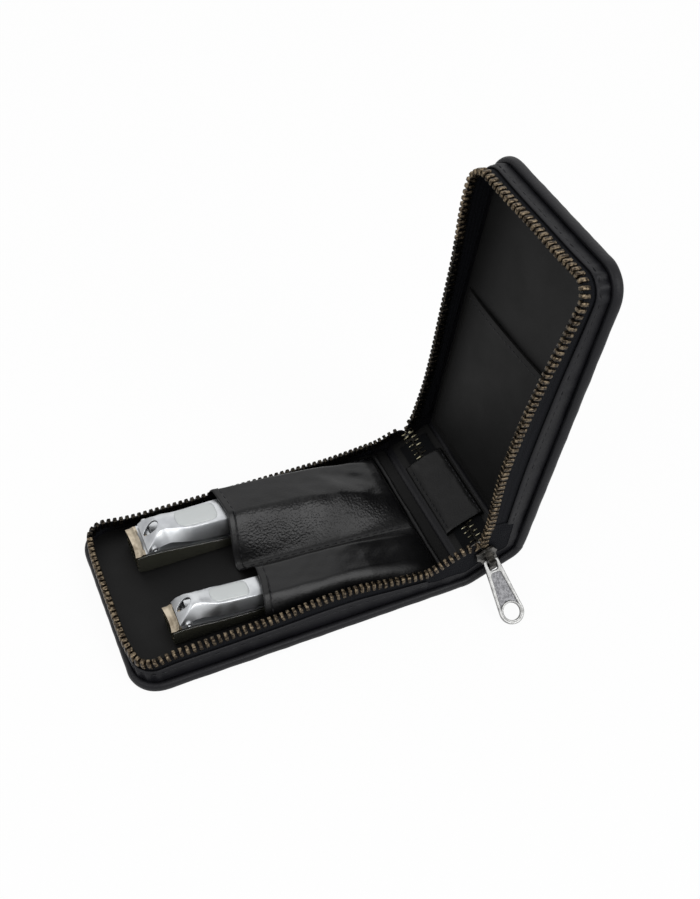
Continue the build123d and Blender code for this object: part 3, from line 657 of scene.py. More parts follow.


# Each half's row in stretches. A stretch that stands proud of the pattern gets a mesh of its own.
lastRun = wholeRun - tooth["farEnd"]
stretches = {
    "base": [(17.0, 36.0), (36.0, 66.0), (66.0, 117.0), (117.0, lastRun)],
    "lid": [(17.0, 66.0), (66.0, 86.0), (86.0, 104.0), (104.0, 176.0), (176.0, 206.0), (206.0, 240.0), (240.0, lastRun)],
}
for halfName, cuts in stretches.items():
    places = spacedRuns(tooth["start"], lastRun, 0.0 if halfName == "base" else tooth["pitch"] / 2)
    inward = onHalf(halfName, 80.0, 0, 1.0) - onHalf(halfName, 80.0, 0, 0.0)
    for k, (start, stop) in enumerate(cuts):
        chosen = places[(places >= start) & (places < stop)]
        isFar = start > 180 or (halfName == "base" and k == 3)
        nearPart = toothRow(f"{halfName}Teeth{k}", *rowFrames(halfName, chosen), halfName, leaning=0.45 if halfName == "base" else 0.25)
        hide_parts(halfName + "_zipper_teeth")
        if isFar:
            # painted shade beyond the far corner: faces on the far side take the shaded brass as a second material,
            # picked by their place
            nearPart.data.materials.append(farShadeBrass)
            middles = np.empty(len(nearPart.data.polygons) * 3)
            nearPart.data.polygons.foreach_get("center", middles)
            nearPart.data.polygons.foreach_set("material_index", (middles.reshape(-1, 3)[:, 1] * 1000 > half - 9).astype(np.int32))
        tapePart = tapeWall(f"{halfName}Tape{k}", halfName, start - 0.5 if k == 0 else start, stop)
        mean = float(atStance(halfName, "rise", np.linspace(start, stop, 20)).mean())
        if mean > 0.5:
            for soft in (nearPart, tapePart):
                tuple(onHalf(halfName, 80.0, 0, 5.0) / 1000)
                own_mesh(soft)


def hermite(t, start, startWay, stop, stopWay):
    """Cubic from start to stop that leaves and arrives along the two ways."""
    t = np.asarray(t, float)[:, None]
    return ((2 * t ** 3 - 3 * t ** 2 + 1) * start + (t ** 3 - 2 * t ** 2 + t) * startWay
            + (3 * t ** 2 - 2 * t ** 3) * stop + (t ** 3 - t ** 2) * stopWay)


def spineAt(w, y, n):
    """Point over the flat middle of the spine, without the folds' rounding."""
    lift = math.radians(case["spineLift"])
    w, y, n = np.broadcast_arrays(np.asarray(w, float), np.asarray(y, float), np.asarray(n, float) - case["foldLevel"])
    return np.stack([case["length"] / 2 + w * math.cos(lift) - n * math.sin(lift), y, case["foldLevel"] + w * math.sin(lift) + n * math.cos(lift)], -1)


spineIn = spineAt(0, 0, 1) - spineAt(0, 0, 0)
spineAlong = spineAt(1, 0, 0) - spineAt(0, 0, 0)
rowY = half - case["rowInset"]
# the rows between the halves and the middle of the spine: foot of the row at both ends,
# the way it runs there, its length along each way, and the skin it hangs over
bends = {
    "baseNear": {"side": -1, "half": "base", "u": 17.0, "bow": 2.4, "w": 8.6, "n": 13.6, "pull": (14.0, 15.0), "first": 2.2},
    "lidNear": {"side": -1, "half": "lid", "u": 17.0, "bow": 7.2, "w": 13.6, "n": 13.6, "pull": (9.0, 9.0), "first": 1.1},
    "baseFar": {"side": 1, "half": "base", "u": 7.0, "bow": -0.9, "w": 8.6, "n": 6.8, "pull": (11.0, 8.0), "first": 1.6},
    "lidFar": {"side": 1, "half": "lid", "u": 7.0, "bow": 1.8, "w": 13.6, "n": 6.8, "pull": (6.0, 6.0), "first": 1.6},
}


def makeBend(name, facts):
    y = facts["side"] * rowY
    onBase = facts["half"] == "base"
    start = onHalf(facts["half"], facts["u"], y, case["rowFoot"] + facts["bow"])
    startUp = onHalf(facts["half"], facts["u"], y, 1.0) - onHalf(facts["half"], facts["u"], y, 0.0)
    startWay = np.array([startUp[2], 0, -startUp[0]]) * (1 if onBase else -1)      # towards the fold
    stop = spineAt(facts["w"], y, facts["n"])
    t = np.linspace(0, 1, 41)
    foot = hermite(t, start, startWay * facts["pull"][0], stop, -spineIn * facts["pull"][1])
    way = unit(np.gradient(foot, axis=0))
    turn = 1 if onBase else -1
    up = np.stack([-way[:, 2], way[:, 1], way[:, 0]], -1) * turn
    travelled = np.concatenate([[0], np.cumsum(np.linalg.norm(np.diff(foot, axis=0), axis=1))])
    # teeth at the row's own pitch
    places = np.arange(facts["first"], travelled[-1] - 0.4, tooth["pitch"])
    pick = lambda values: np.stack([np.interp(places, travelled, values[:, k]) for k in range(3)], -1)
    # painted shade: the teeth of the far side's bend take the shaded brass
    row = toothRow(name + "Teeth", pick(foot), unit(pick(up)), unit(pick(way)), None, looks=antiqueBrass if facts["side"] < 0 else farShadeBrass)
    # wall from the rolled edge up to the row: leather below, tape above
    skinEnd = facts["u"] if not onBase else -facts["u"]
    s0 = case["spine"] + facts["u"] if not onBase else -facts["u"]
    s1 = facts["w"]
    s = s0 + (s1 - s0) * t
    rim = wrap(s, np.full(41, facts["side"] * (half - 2.5)), np.full(41, 2.6))
    top = foot + up * 1.75
    reach = np.linalg.norm(top - rim, axis=1)
    split = np.minimum(wallShape["gusset"][7][1] - 2.6 + 0.0 * reach, reach * 0.8)
    ends = (tuple(foot[2] / 1000), tuple(foot[-3] / 1000))
    if not onBase:
        ends = ends[::-1]
    pieces = [row]
    for part, low, high, thick, looks, slot in (
            ("Web", np.zeros(41), split, 1.0, coverLeather, "black_leather"),
            ("Tape", split - 2.2, reach, 0.7, zipTape, "zip_tape")):
        v = np.linspace(0, 1, 14)
        share = (low[:, None] + (high - low)[:, None] * v[None, :]) / reach[:, None]
        sheetPoints = rim[:, None, :] + (top - rim)[:, None, :] * share[..., None]
        belly = facts["side"] * (0.5 * np.sin(np.pi * share) * np.sin(np.pi * t)[:, None] + 0.25 * noise(np.stack([t[:, None] * 20 + 0 * v, share * 10], -1), 6.0, 9) * np.sin(np.pi * t)[:, None])
        out = sheetPoints + np.array([0, 1.0, 0]) * (belly + facts["side"] * (thick / 2))[..., None]
        inn = sheetPoints + np.array([0, 1.0, 0]) * (belly - facts["side"] * (thick / 2))[..., None]
        loop = np.concatenate([out, inn[:, ::-1]], 1)
        uv = np.stack(np.broadcast_arrays(travelled[:, None], np.concatenate([share, share[:, ::-1]], 1) * reach[:, None]), -1)
        pieces.append(sweep(name + part, loop, None, looks, slot, uv=uv, sharp=60))
    for piece in pieces:
        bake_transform(piece)


for bendName, bendFacts in bends.items():
    makeBend(bendName, bendFacts)
print("case: walls, tapes and teeth made")

# ---------------------------------------------------------------- sleeves
# One sheet of leather sewn down along its edges and along the slanting seam
# between the two clippers. u is measured from the fold line, y across.
sleeve = {
    "mouth": 73.5, "end": 8.0, "edge": 30.8, "sheet": 0.9,
    "seam": -0.5, "slant": 4.5,     # where the seam starts at the mouth, and how far it drifts
    "largeRise": [(8, 0.5), (10, 3.2), (14, 4.9), (22, 7.2), (31, 9.9), (45, 12.1), (60, 13.8), (70, 14.5), (76, 15.4)],
    "smallRise": [(8, 0.5), (10, 2.0), (15, 3.7), (24, 6.2), (34, 8.9), (45, 10.3), (66, 12.0), (76, 12.9)],
    "largeTop": [(8, 8), (20, 9.5), (31, 11), (46, 13), (76, 13)],    # near edge of the large sleeve's top
    "largeFar": 24.6,
    # the mouth's line, drawn back where the leather stands highest: (y, u)
    "lip": [(-30.8, 74.6), (-24, 74.0), (-17, 72.4), (-9.3, 71.8), (-3.5, 73.2), (-0.5, 75.0), (5, 74.6), (13, 73.4), (20, 74.2), (27, 75.6), (30.8, 76.0)],
    "smallTop": (-22.0, -11.3),
    "hem": 2.6, "hemStep": 0.3,
    # creases: from (u, y) to (u, y), width and height in mm
    "creases": [
        (36, 14.0, 16, 9.0, 3.6, 0.8), (36, 22, 14, 15, 3.2, -0.7), (24, 25, 11, 26, 2.6, 0.4), (72, 8.0, 48, 5.0, 3.0, -0.35),
        (70, -24.5, 46, -26.0, 2.6, 0.35), (40, -13, 18, -15, 3.4, -0.5), (60, -11, 30, -13, 3.0, 0.25),
    ],
}


def seamAt(u):
    return sleeve["seam"] - sleeve["slant"] * (sleeve["mouth"] - u) / (sleeve["mouth"] - sleeve["end"])


def lipAt(y):
    return smoothLine(y, sleeve["lip"], 30)


def slope(t):
    # a side of the sleeve: partly straight, rounding over at its top
    t = np.clip(t, 0, 1)
    return 0.3 * t + 0.7 * np.sin(t * math.pi / 2) ** 1.5


def sleeveTop(u, y):
    # upper face over the lining: each sleeve's rise along u times its share across y, plus creases,
    # which are ridges or furrows of bell section along short lines, and two sizes of noise
    seam = seamAt(u)
    near = smoothLine(u, sleeve["largeTop"])
    largeShare = slope((y - seam - 0.8) / (near - seam - 0.8)) * slope((sleeve["edge"] - y) / (sleeve["edge"] - sleeve["largeFar"]))
    low, high = sleeve["smallTop"]
    smallShare = slope((y + sleeve["edge"]) / (low + sleeve["edge"])) * slope((seam - 0.9 - y) / (seam - 0.9 - high))
    rise = smoothLine(u, sleeve["largeRise"], 3) * largeShare + smoothLine(u, sleeve["smallRise"], 3) * smallShare
    loose = np.clip(rise / 3, 0, 1)
    for u0, y0, u1, y1, width, height in sleeve["creases"]:
        run = np.array([u1 - u0, y1 - y0])
        length = np.hypot(*run)
        t = ((u - u0) * run[0] + (y - y0) * run[1]) / length ** 2
        off = ((u - u0) * run[1] - (y - y0) * run[0]) / length
        fade = ease(t / 0.3) * ease((1 - t) / 0.35)
        rise = rise + height * np.exp(-(off / width) ** 2) * fade * loose
    rise = rise + loose * (0.14 * noise(np.stack([u, y * 1.3], -1), 19.0, 5) + 0.04 * noise(np.stack([u, y * 1.4], -1), 6.0, 15))
    fromMouth = lipAt(y) - u
    doubled = sleeve["hemStep"] * ease((sleeve["hem"] + 0.5 - fromMouth) / 0.6) - 0.22 * np.exp(-((fromMouth - sleeve["hem"]) / 0.4) ** 2)
    return np.maximum(rise, 0) + sleeve["sheet"] + doubled


def makeSleeves():
    uLine = np.concatenate([np.linspace(sleeve["end"], 12, 18)[:-1], np.linspace(12, 69, 115)[:-1], np.linspace(69, sleeve["mouth"], 28)])
    yLine = np.linspace(-sleeve["edge"], sleeve["edge"], 150)
    u, y = np.meshgrid(uLine, yLine, indexing="ij")
    u = sleeve["end"] + (u - sleeve["end"]) * (lipAt(y) - sleeve["end"]) / (sleeve["mouth"] - sleeve["end"])
    high = case["floor"] + 0.02 + sleeveTop(u, y)
    edge = np.minimum(sleeve["edge"] - np.abs(y), u - sleeve["end"])
    high = high - 0.4 * (1 - ease(edge / 0.9))                # pared along the sewn edges
    low = np.maximum(high - sleeve["sheet"], case["floor"] + 0.02)
    mouthRound = 0.35 * (1 - ease((lipAt(y) - u) / 0.5))
    upper = onHalf("base", u, y, high - mouthRound)
    lower = onHalf("base", u, y, np.minimum(low + 0.3 * mouthRound, high - 0.4))
    piece = twoSided("sleeves", upper, lower, "base", sleeveLeather, "pocket_leather", sharp=60)
    # the grain opens where the leather is stretched down beside the large clipper
    places = np.empty(len(piece.data.vertices) * 3)
    piece.data.vertices.foreach_get("co", places)
    places = places.reshape(-1, 3) * 1000
    uHere, yHere = case["length"] / 2 - places[:, 0], places[:, 1]
    stretch = np.exp(-((yHere - seamAt(uHere) - 8.5) / 6.0) ** 2) * ease((73 - uHere) / 8) * ease((uHere - 8) / 10)
    layer = piece.data.attributes.new("stretch", "FLOAT", "POINT")
    layer.data.foreach_set("value", stretch.astype(np.float32))
    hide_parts("pocket_panel")
    return piece


def overSleeve(u, y):
    return onHalf("base", u, y, case["floor"] + 0.02 + sleeveTop(u, y))


sleeve["flat"], sleeve["area"] = (0.083, 0.0690), 0.0054
makeSleeves()
upright = np.array([0.0, 0.0, 1.0])
acrossLarge = np.linspace(1.5, 29.5, 160)
acrossSmall = np.linspace(-29.5, -2.5, 160)
for label, across in (("Large", acrossLarge), ("Small", acrossSmall)):
    line = overSleeve(lipAt(across) - sleeve["hem"], across)
    lift = unit(np.stack([np.zeros(160), -np.gradient(line[:, 2]), np.gradient(line[:, 1])], -1))
    stitches("hemStitch" + label, line, lift, "base", "pocket_leather", length=1.9, gap=0.8)
uSeam = np.linspace(12, 72, 200)
stitches("seamStitch", overSleeve(uSeam, seamAt(uSeam)), upright, "base", "pocket_leather", length=2.2, gap=0.9)
for side in (-1, 1):
    uEdge = np.linspace(11, 72, 200)
    stitches("edgeStitch" + ("Near" if side < 0 else "Far"), overSleeve(uEdge, np.full(200, side * (sleeve["edge"] - 1.2))), upright, "base", "pocket_leather")
print("case: sleeves made")

# --------------------------------------------------------------- clippers
# Heights are over the lining, lengths from the blade's edge, all in mm.
clippers = {
    "large": {
        "length": 82.0, "width": 14.2, "height": 14.3, "front": -46.5, "side": 17.1,
        "crest": [(4.4, 11.5), (6, 13.3), (8, 15.6), (9.8, 16.9), (12, 17.1), (15.5, 16.1), (21, 15.0), (34, 14.5), (50, 12.0), (76, 8.8)],
        "plateau": [(4.4, 6.1), (5.6, 6.0), (10.2, 3.0), (16.5, 3.6), (21.8, 4.4), (34, 4.8), (76, 4.6)],
        "edge": [(4.4, 10.9), (8.5, 10.7), (12.6, 11.6), (17, 9.9), (21.5, 8.2), (34, 6.5), (76, 6.3)],
        "jaw": [(0, 9.3), (3.3, 9.9), (9, 9.6), (19, 8.0), (33.5, 5.9), (60, 5.9), (82, 6.5)],
        "hole": (4.9, 10.3, 2.4), "post": 5.7, "axle": (6.9, 11.2), "plate": (16.4, 31.2, 3.9),
    },
    "small": {
        "length": 70.0, "width": 11.6, "height": 13.16, "front": -44.4, "side": -16.3,
        "crest": [(3.1, 10.5), (5, 13.0), (7, 15.1), (8.8, 16.1), (11, 16.0), (15, 14.5), (20, 13.1), (31, 11.7), (45, 10.2), (65, 8.2)],
        "plateau": [(3.1, 4.8), (4.2, 4.8), (9.2, 2.3), (12.2, 2.5), (16.7, 3.5), (31.7, 3.8), (65, 3.7)],
        "edge": [(3.1, 9.9), (7, 9.9), (10.5, 10.2), (15, 8.4), (20, 6.8), (28.4, 5.8), (65, 5.7)],
        "jaw": [(0, 7.9), (3.0, 8.3), (8, 8.1), (16, 6.7), (30, 5.4), (52, 5.4), (70, 6.0)],
        "hole": (3.7, 8.6, 1.9), "post": 4.5, "axle": (6.0, 9.7), "plate": (15.2, 28.6, 3.1),
    },
}


def leverTop(size, x, q):
    # across the lever: a crowned flat out to the ridge, then a side that falls and flares to its edge
    whole = size["width"] / 2 - 0.7
    crest, ridge, edge = (smoothLine(x, size[key], passes) for key, passes in (("crest", 14), ("plateau", 10), ("edge", 14)))
    edge = np.minimum(edge + 0.5 * ease((x - 5) / 4), crest - 0.9)
    share = 0.6                                             # of the grid that the flat takes
    onTop = np.abs(q) <= share
    t = np.clip((np.abs(q) - share) / (1 - share), 0, 1)
    bend = np.minimum(np.abs(q) / share, 1)
    ridgeZ = crest - 0.5
    y = np.where(onTop, ridge * bend, ridge + (whole - ridge) * t)
    z = np.where(onTop, crest - 0.5 * bend ** 2.5, ridgeZ - (ridgeZ - edge) * t ** 1.3)
    return np.sign(q) * y, z


def clipperParts(name, size):
    length, width, height = size["length"], size["width"], size["height"]
    corner = np.array([size["front"], size["side"], case["floor"]])

    # lever: a pressed sheet, steep at its front and flared along its sides
    x = np.concatenate([np.linspace(size["crest"][0][0], 22, 90), np.linspace(22.5, size["crest"][-1][0], 60)])
    q = np.concatenate([np.linspace(-1, -0.62, 16), np.linspace(-0.6, 0.6, 33), np.linspace(0.62, 1, 16)])
    xs, qs = np.meshgrid(x, q, indexing="ij")
    y, z = leverTop(size, xs, qs)
    thick = 0.9
    slope = np.gradient(z, x, axis=0)
    slopeY = np.gradient(z, axis=1) / np.gradient(y, axis=1)
    normal = unit(np.stack([-slope, -np.clip(slopeY, -6, 6), np.ones_like(z)], -1))
    upper = np.stack([xs, y, z], -1) + corner
    lower = upper - normal * thick
    lever = twoSided(name + "Lever", upper, lower, name + "_lever_arm", satinSteel, "satin_steel", sharp=40)
    # teardrop hole for the post in the steep front
    first, last, wide = size["hole"]
    t = np.linspace(0, 2 * math.pi, 48, endpoint=False)
    dropX = (first + last) / 2 + (last - first) / 2 * np.cos(t)
    dropY = wide * np.sin(t) * (0.85 + 0.2 * np.cos(t))
    cutter = np.stack([np.stack([dropX, dropY, np.full(48, level)], -1) for level in (height * 0.45, height * 1.5)]) + corner
    knife = newPiece(name + "Knife", cutter, gridFaces(2, 48, closeColumns=True) + [list(range(48)), list(range(48, 96))], None, satinSteel)
    cutOut(lever, knife)
    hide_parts(name + "_lever")

    # jaws: sheets that fall towards the tail; the blades are hollow in plan and ground in front
    inner = width / 2 - 0.55
    jawX = np.concatenate([np.linspace(0, 5, 16), np.linspace(5.6, length, 60)])
    jawQ = np.linspace(-1, 1, 33)
    xs, qs = np.meshgrid(jawX, jawQ, indexing="ij")
    hollow = 0.5 * (1 - qs ** 2) * (1 - 0.3 * qs) * np.exp(-(xs / 3.2) ** 2)
    top = smoothLine(xs, size["jaw"], 6) + 0.3 * np.exp(-((xs - 3.1 + 0.5 * qs ** 2) / 0.35) ** 2) - 0.3 * np.exp(-((xs - 1.6) / 0.9) ** 2)
    nose = np.exp(-(xs / 1.1) ** 2)
    meet = height * 0.35
    y = qs * inner
    upper = np.stack([xs + hollow, y, top], -1) + corner
    under = np.maximum(top - 0.95, meet + 0.08)
    under = under - (under - meet - 0.75) * nose
    lower = np.stack([xs + hollow + 0.55 * nose, y, under], -1) + corner
    jaw = twoSided(name + "UpperJaw", upper, lower, name + "_jaw", satinSteel, "satin_steel", sharp=35)
    # the blade, ground and left bare, is a little warmer than the plated rest
    jaw.data.materials.append(bladeSteel)
    middles = np.empty(len(jaw.data.polygons) * 3)
    jaw.data.polygons.foreach_get("center", middles)
    jaw.data.polygons.foreach_set("material_index", (middles.reshape(-1, 3)[:, 0] * 1000 < corner[0] + 3.6).astype(np.int32))
    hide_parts(name + "_upper_jaw")
    foot = smoothLine(xs, [(0, height * 0.2), (4, height * 0.13), (length * 0.37, height * 0.13), (length * 0.8, height * 0.25), (length, height * 0.28)], 4)
    over = np.minimum(foot + 0.95, meet - 0.08)
    over = over + (meet - 0.6 - over) * nose
    upper = np.stack([xs + hollow + 0.3, y, over], -1) + corner
    lower = np.stack([xs + hollow + 0.3 + 0.4 * nose, y, foot], -1) + corner
    jaw = twoSided(name + "LowerJaw", upper, lower, name + "_clipper", bladeSteel, "satin_steel", sharp=35)
    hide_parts(name + "_lower_jaw")

    # post with a domed head and a cross slot; the axle's domed ends
    postX = size["post"]
    headZ = float(np.interp(postX, *np.array(size["crest"]).T)) - 1.7
    radius = height * 0.062
    points, faces = turned([(0.05, headZ + 0.45), (radius * 0.6, headZ + 0.36), (radius, headZ), (radius, headZ - 0.7), (radius * 0.72, headZ - 1.0), (radius * 0.72, 0.3), (radius * 1.2, 0.2), (radius * 1.2, 0.05)],
                           corner + [postX, 0, 0], (0, 0, 1))
    post = newPiece(name + "Post", points, faces, name + "_clipper", bladeSteel, "satin_steel", sharp=40)
    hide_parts(name + "_post")
    reach = width / 2 - 0.75
    axleX, axleZ = size["axle"]
    points, faces = turned([(0.05, -reach - 0.55), (0.45, -reach - 0.55), (0.6, -reach - 0.75), (0.95, -reach - 0.65), (1.15, -reach - 0.2), (1.15, -reach + 0.3), (1.15, reach - 0.3), (1.15, reach + 0.2), (0.95, reach + 0.65), (0.05, reach + 0.75)],
                           corner + [axleX, 0, axleZ], (0, 1, 0), 20)
    axle = newPiece(name + "Axle", points, faces, name + "_lever_arm", satinSteel, "satin_steel", sharp=40)
    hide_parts(name + "_lever_axle")

    # bare plate set on the flat: rounded outline, domed resin in a thin step
    first, last, wide = size["plate"]
    outer = rounded([(first, -wide), (last, -wide), (last, wide), (first, wide)], [wide * 0.95, wide * 0.7, wide * 0.7, wide * 0.95], 10)
    middle = outer.mean(0)
    rings = []
    for shrink, lift in ((1.0, -0.3), (1.0, 0.12), (0.97, 0.3), (0.9, 0.4), (0.6, 0.46), (0.25, 0.48)):
        flat = middle + (outer - middle) * shrink
        crest = smoothLine(flat[:, 0], size["crest"])
        bend = np.minimum(np.abs(flat[:, 1]) / smoothLine(flat[:, 0], size["plateau"], 10), 1)
        rings.append(np.stack([flat[:, 0], flat[:, 1], crest - 0.5 * bend ** 2.5 + lift], -1) + corner)
    count = len(outer)
    faces = gridFaces(len(rings), count, closeColumns=True) + [list(range(count)), list(range((len(rings) - 1) * count, len(rings) * count))]
    plate = newPiece(name + "Plate", np.stack(rings), faces, name + "_lever_arm", paleResin, "plate_white", sharp=40)
    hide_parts(name + "_label_plate")

    # catcher: smoked tray round the jaws, its near and far walls under the jaw's edge
    wall, floorZ = 0.42, height * 0.056
    trayX = np.linspace(0.5, length * 0.56, 24)
    jawLine = smoothLine(trayX, size["jaw"], 6) - 0.55
    rings = []
    for at, rise in zip(trayX, jawLine):
        nose = max(0.0, 1 - (at - 0.5) / 1.6)
        out = width / 2 - 0.02
        rings.append(np.column_stack([np.full(32, at), rounded(
            [(-out, 0.9 * nose ** 2), (out, 0.9 * nose ** 2), (out, rise), (out - wall, rise), (out - wall, floorZ + 0.5 * nose), (-out + wall, floorZ + 0.5 * nose), (-out + wall, rise), (-out, rise)],
            [1.3, 1.3, 0.3, 0.3, 0.5, 0.5, 0.3, 0.3], 3)]))
    tray = sweep(name + "Catcher", np.stack(rings) + corner, name + "_clipper", smokePlastic, "smoke_plastic", sharp=40)
    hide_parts(name + "_catcher")


for clipperName, clipperSize in clippers.items():
    clipperParts(clipperName, clipperSize)
print("case: clippers made")

# ------------------------------------------------------------ strap and ridge
strapShape = {"low": -15.0, "high": 18.6, "edges": (2.9, 19.3), "foot": 5.2, "top": 5.7, "under": 4.6, "sheet": 1.2, "puff": 0.2}


def strapTop(w, y):
    # flat strap over the zip's ends: its sewn edges are thin, its middle clears the chain
    left, right = strapShape["edges"]
    edge = np.minimum(w - left, right - w)
    end = np.minimum(y - strapShape["low"], strapShape["high"] - y)
    rise = ease(edge / 3.4)
    top = strapShape["foot"] + (strapShape["top"] - strapShape["foot"]) * rise + strapShape["puff"] * ease(end / 4) * rise
    top = top + (0.16 * noise(np.stack([w, y], -1), 11.0, 8) + 0.05 * noise(np.stack([w, y], -1), 4.0, 18)) * rise - 0.08 * np.exp(-((edge - 1.5) / 0.5) ** 2)
    return top - 0.3 * (1 - ease(end / 0.7)) - 0.3 * (1 - ease(edge / 0.6))


def makeStrap():
    left, right = strapShape["edges"]
    w, y = np.meshgrid(np.linspace(left, right, 44), np.linspace(strapShape["low"], strapShape["high"], 70), indexing="ij")
    edge = np.minimum(w - left, right - w)
    top = strapTop(w, y)
    low = np.where(edge < 2.2, 2.85, np.minimum(top - 1.0, 2.85 + (strapShape["under"] - 2.85) * ease((edge - 2.2) / 1.6)))
    piece = twoSided("strap", wrap(w, y, top), wrap(w, y, low), "spine", strapLeather, "black_leather", sharp=60)
    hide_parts("spine_band")
    yLine = np.linspace(strapShape["low"] + 1.0, strapShape["high"] - 1.0, 80)
    for label, at in (("Base", left + 1.5), ("Lid", right - 1.5)):
        line = wrap(at, yLine, strapTop(np.full(80, at), yLine) + 0.16)
        stitches("strapStitch" + label, line, spineIn, "spine", "black_leather", length=1.7, gap=1.0, radius=0.24)


makeStrap()

chainShape = {"middle": 11.1, "bend": 2.6, "level": 3.15, "side": half - case["rowInset"], "bar": (0.2, 2.7), "thick": (0.85, 1.5)}


def makeChain():
    # the closed zip sunk in the spine: two columns of bars that turn up the side walls
    feet, ways = [], []
    for side, top, inner in ((-1, 8.6, 11.0), (1, 6.6, 14.6)):
        bend, middle = chainShape["bend"], chainShape["side"] - chainShape["bend"]
        drop = top - chainShape["level"] - bend
        for column in (-1, 1):
            run = np.arange(0.6 + (1.1 if column > 0 else 0), drop + bend * math.pi / 2 + middle - inner, tooth["pitch"])
            swept = np.clip((run - drop) / bend, 0, math.pi / 2)
            past = np.maximum(run - drop - bend * math.pi / 2, 0)
            y = side * (middle + bend * np.cos(swept) - past)
            n = chainShape["level"] + bend * (1 - np.sin(swept)) + np.maximum(drop - run, 0)
            feet.append(np.stack([np.full(run.shape, float(column)), y, n], -1))
            ways.append(np.stack([-side * np.sin(swept), -np.cos(swept)], -1))
    feet, ways = np.concatenate(feet), np.concatenate(ways)
    first, last = chainShape["bar"]
    wide, tall = chainShape["thick"]
    turn = np.linspace(0, 2 * math.pi, 10, endpoint=False)
    at = np.array([0, 0.06, 0.3, 0.7, 0.94, 1.0])
    swell = np.array([0.45, 0.85, 1.0, 0.9, 0.8, 0.4])
    w = chainShape["middle"] + feet[:, 0, None, None] * (first + (last - first) * at)[None, :, None] + 0 * turn
    along = wide / 2 * swell[None, :, None] * np.cos(turn)
    over = tall / 2 * swell[None, :, None] * np.sin(turn)
    y = feet[:, 1, None, None] + ways[:, 0, None, None] * along + ways[:, 1, None, None] * over
    n = feet[:, 2, None, None] + ways[:, 1, None, None] * along - ways[:, 0, None, None] * over
    # the chain's brass carries painted shade with painted glints
    piece = newPiece("spineChain", wrap(w, y, n), repeated(np.stack([w, y, n], -1)), "spine", chainShadeGlintBrass, "zip_metal", sharp=60)
    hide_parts("spine_zipper_teeth")


makeChain()

ridgeShape = {"start": 5.75, "width": 2.0, "height": 1.4, "reach": 31.5}


def makeRidge():
    # bound edge across the end of the base panel: a low rounded bead with a slight wave
    yLine = np.linspace(-ridgeShape["reach"], ridgeShape["reach"], 90)
    section = rounded([(-0.5, 0), (-0.5, 0.6), (-0.2, 1.0), (0.2, 1.0), (0.5, 0.6), (0.5, 0)], 0.2, 3)
    u = ridgeShape["start"] + ridgeShape["width"] * (0.5 + section[None, :, 0]) + 0.15 * noise(yLine[:, None], 18.0, 3)[:, None]
    n = case["floor"] + 0.02 + ridgeShape["height"] * section[None, :, 1] * (1 + 0.06 * noise(yLine[:, None], 9.0, 6)[:, None])
    y = np.broadcast_to(yLine[:, None], n.shape)
    piece = sweep("endRidge", onHalf("base", u, y, n), "base", strapLeather, "black_leather", sharp=60)
    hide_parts("pocket_end_binding")


makeRidge()

slipShape = {"start": 4.2, "top": 70.6, "slant": 0.045, "reach": 30.7, "sheet": 0.9, "gap": 0.4, "sewn": 3.0, "dip": 0.9, "belly": 0.3}


def slipEdge(y):
    # open edge of the slip pocket: slanted a little, and lowest in the middle
    return slipShape["top"] - slipShape["slant"] * y - slipShape["dip"] * (1 - (y / slipShape["reach"]) ** 2)


def slipTop(u, y):
    # height of the sheet: sewn down along three sides, bellied a little towards its open edge
    edge = np.minimum(slipShape["reach"] - np.abs(y), u - slipShape["start"])
    belly = slipShape["belly"] * ease(edge / 12) * (0.4 + 0.6 * ease(u / slipShape["top"]))
    top = case["floor"] + slipShape["sheet"] + slipShape["gap"] * ease(edge / slipShape["sewn"]) + belly
    return top + 0.06 * noise(np.stack([u, y], -1), 24.0, 21) * ease(edge / 6)


def makeSlip():
    share, y = np.meshgrid(np.linspace(0, 1, 60), np.linspace(-slipShape["reach"], slipShape["reach"], 70), indexing="ij")
    u = slipShape["start"] + (slipEdge(y) - slipShape["start"]) * share
    fromEdge = slipEdge(y) - u
    top = slipTop(u, y) - 0.3 * (1 - ease(fromEdge / 0.5)) + 0.12 * ease((2.4 - fromEdge) / 0.5)
    edge = np.minimum(slipShape["reach"] - np.abs(y), u - slipShape["start"])
    top = top - 0.45 * (1 - ease(edge / 0.8))
    low = np.where(edge < 1.0, case["floor"] + 0.02, np.maximum(top - slipShape["sheet"], case["floor"] + 0.03))
    piece = twoSided("slipPocket", onHalf("lid", u, y, top), onHalf("lid", u, y, low), "lid", liningLeather, "lining_leather", sharp=60)
    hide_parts("lid_pocket_panel")
    yLine = np.linspace(-28.5, 28.5, 120)
    lidOut = onHalf("lid", 60.0, 0, 1.0) - onHalf("lid", 60.0, 0, 0.0)
    line = onHalf("lid", slipEdge(yLine) - 2.1, yLine, slipTop(slipEdge(yLine) - 2.1, yLine) + 0.1)
    stitches("slipStitch", line, lidOut, "lid", "lining_leather", length=1.7, gap=0.8, radius=0.16)


makeSlip()

# seam of each side wall, just under the folded top of its leather
for halfName in ("base", "lid"):
    seamRuns = np.arange(17.0, wholeRun - 7.5, 0.6)
    seamN = 6.3 + wallShape["share"] * 0.72 * atStance(halfName, "rise", seamRuns)
    u, y, turnedBy = outline(seamRuns, 2.02 + 0.6 * atStance(halfName, "lean", seamRuns))
    seamLine = onHalf(halfName, u, y, seamN)
    seamOut = onHalf(halfName, u + np.sin(turnedBy), y - np.cos(turnedBy), seamN) - seamLine
    stitches(halfName + "WallStitch", seamLine, seamOut, halfName, "black_leather", length=2.2, gap=0.8, radius=0.15)

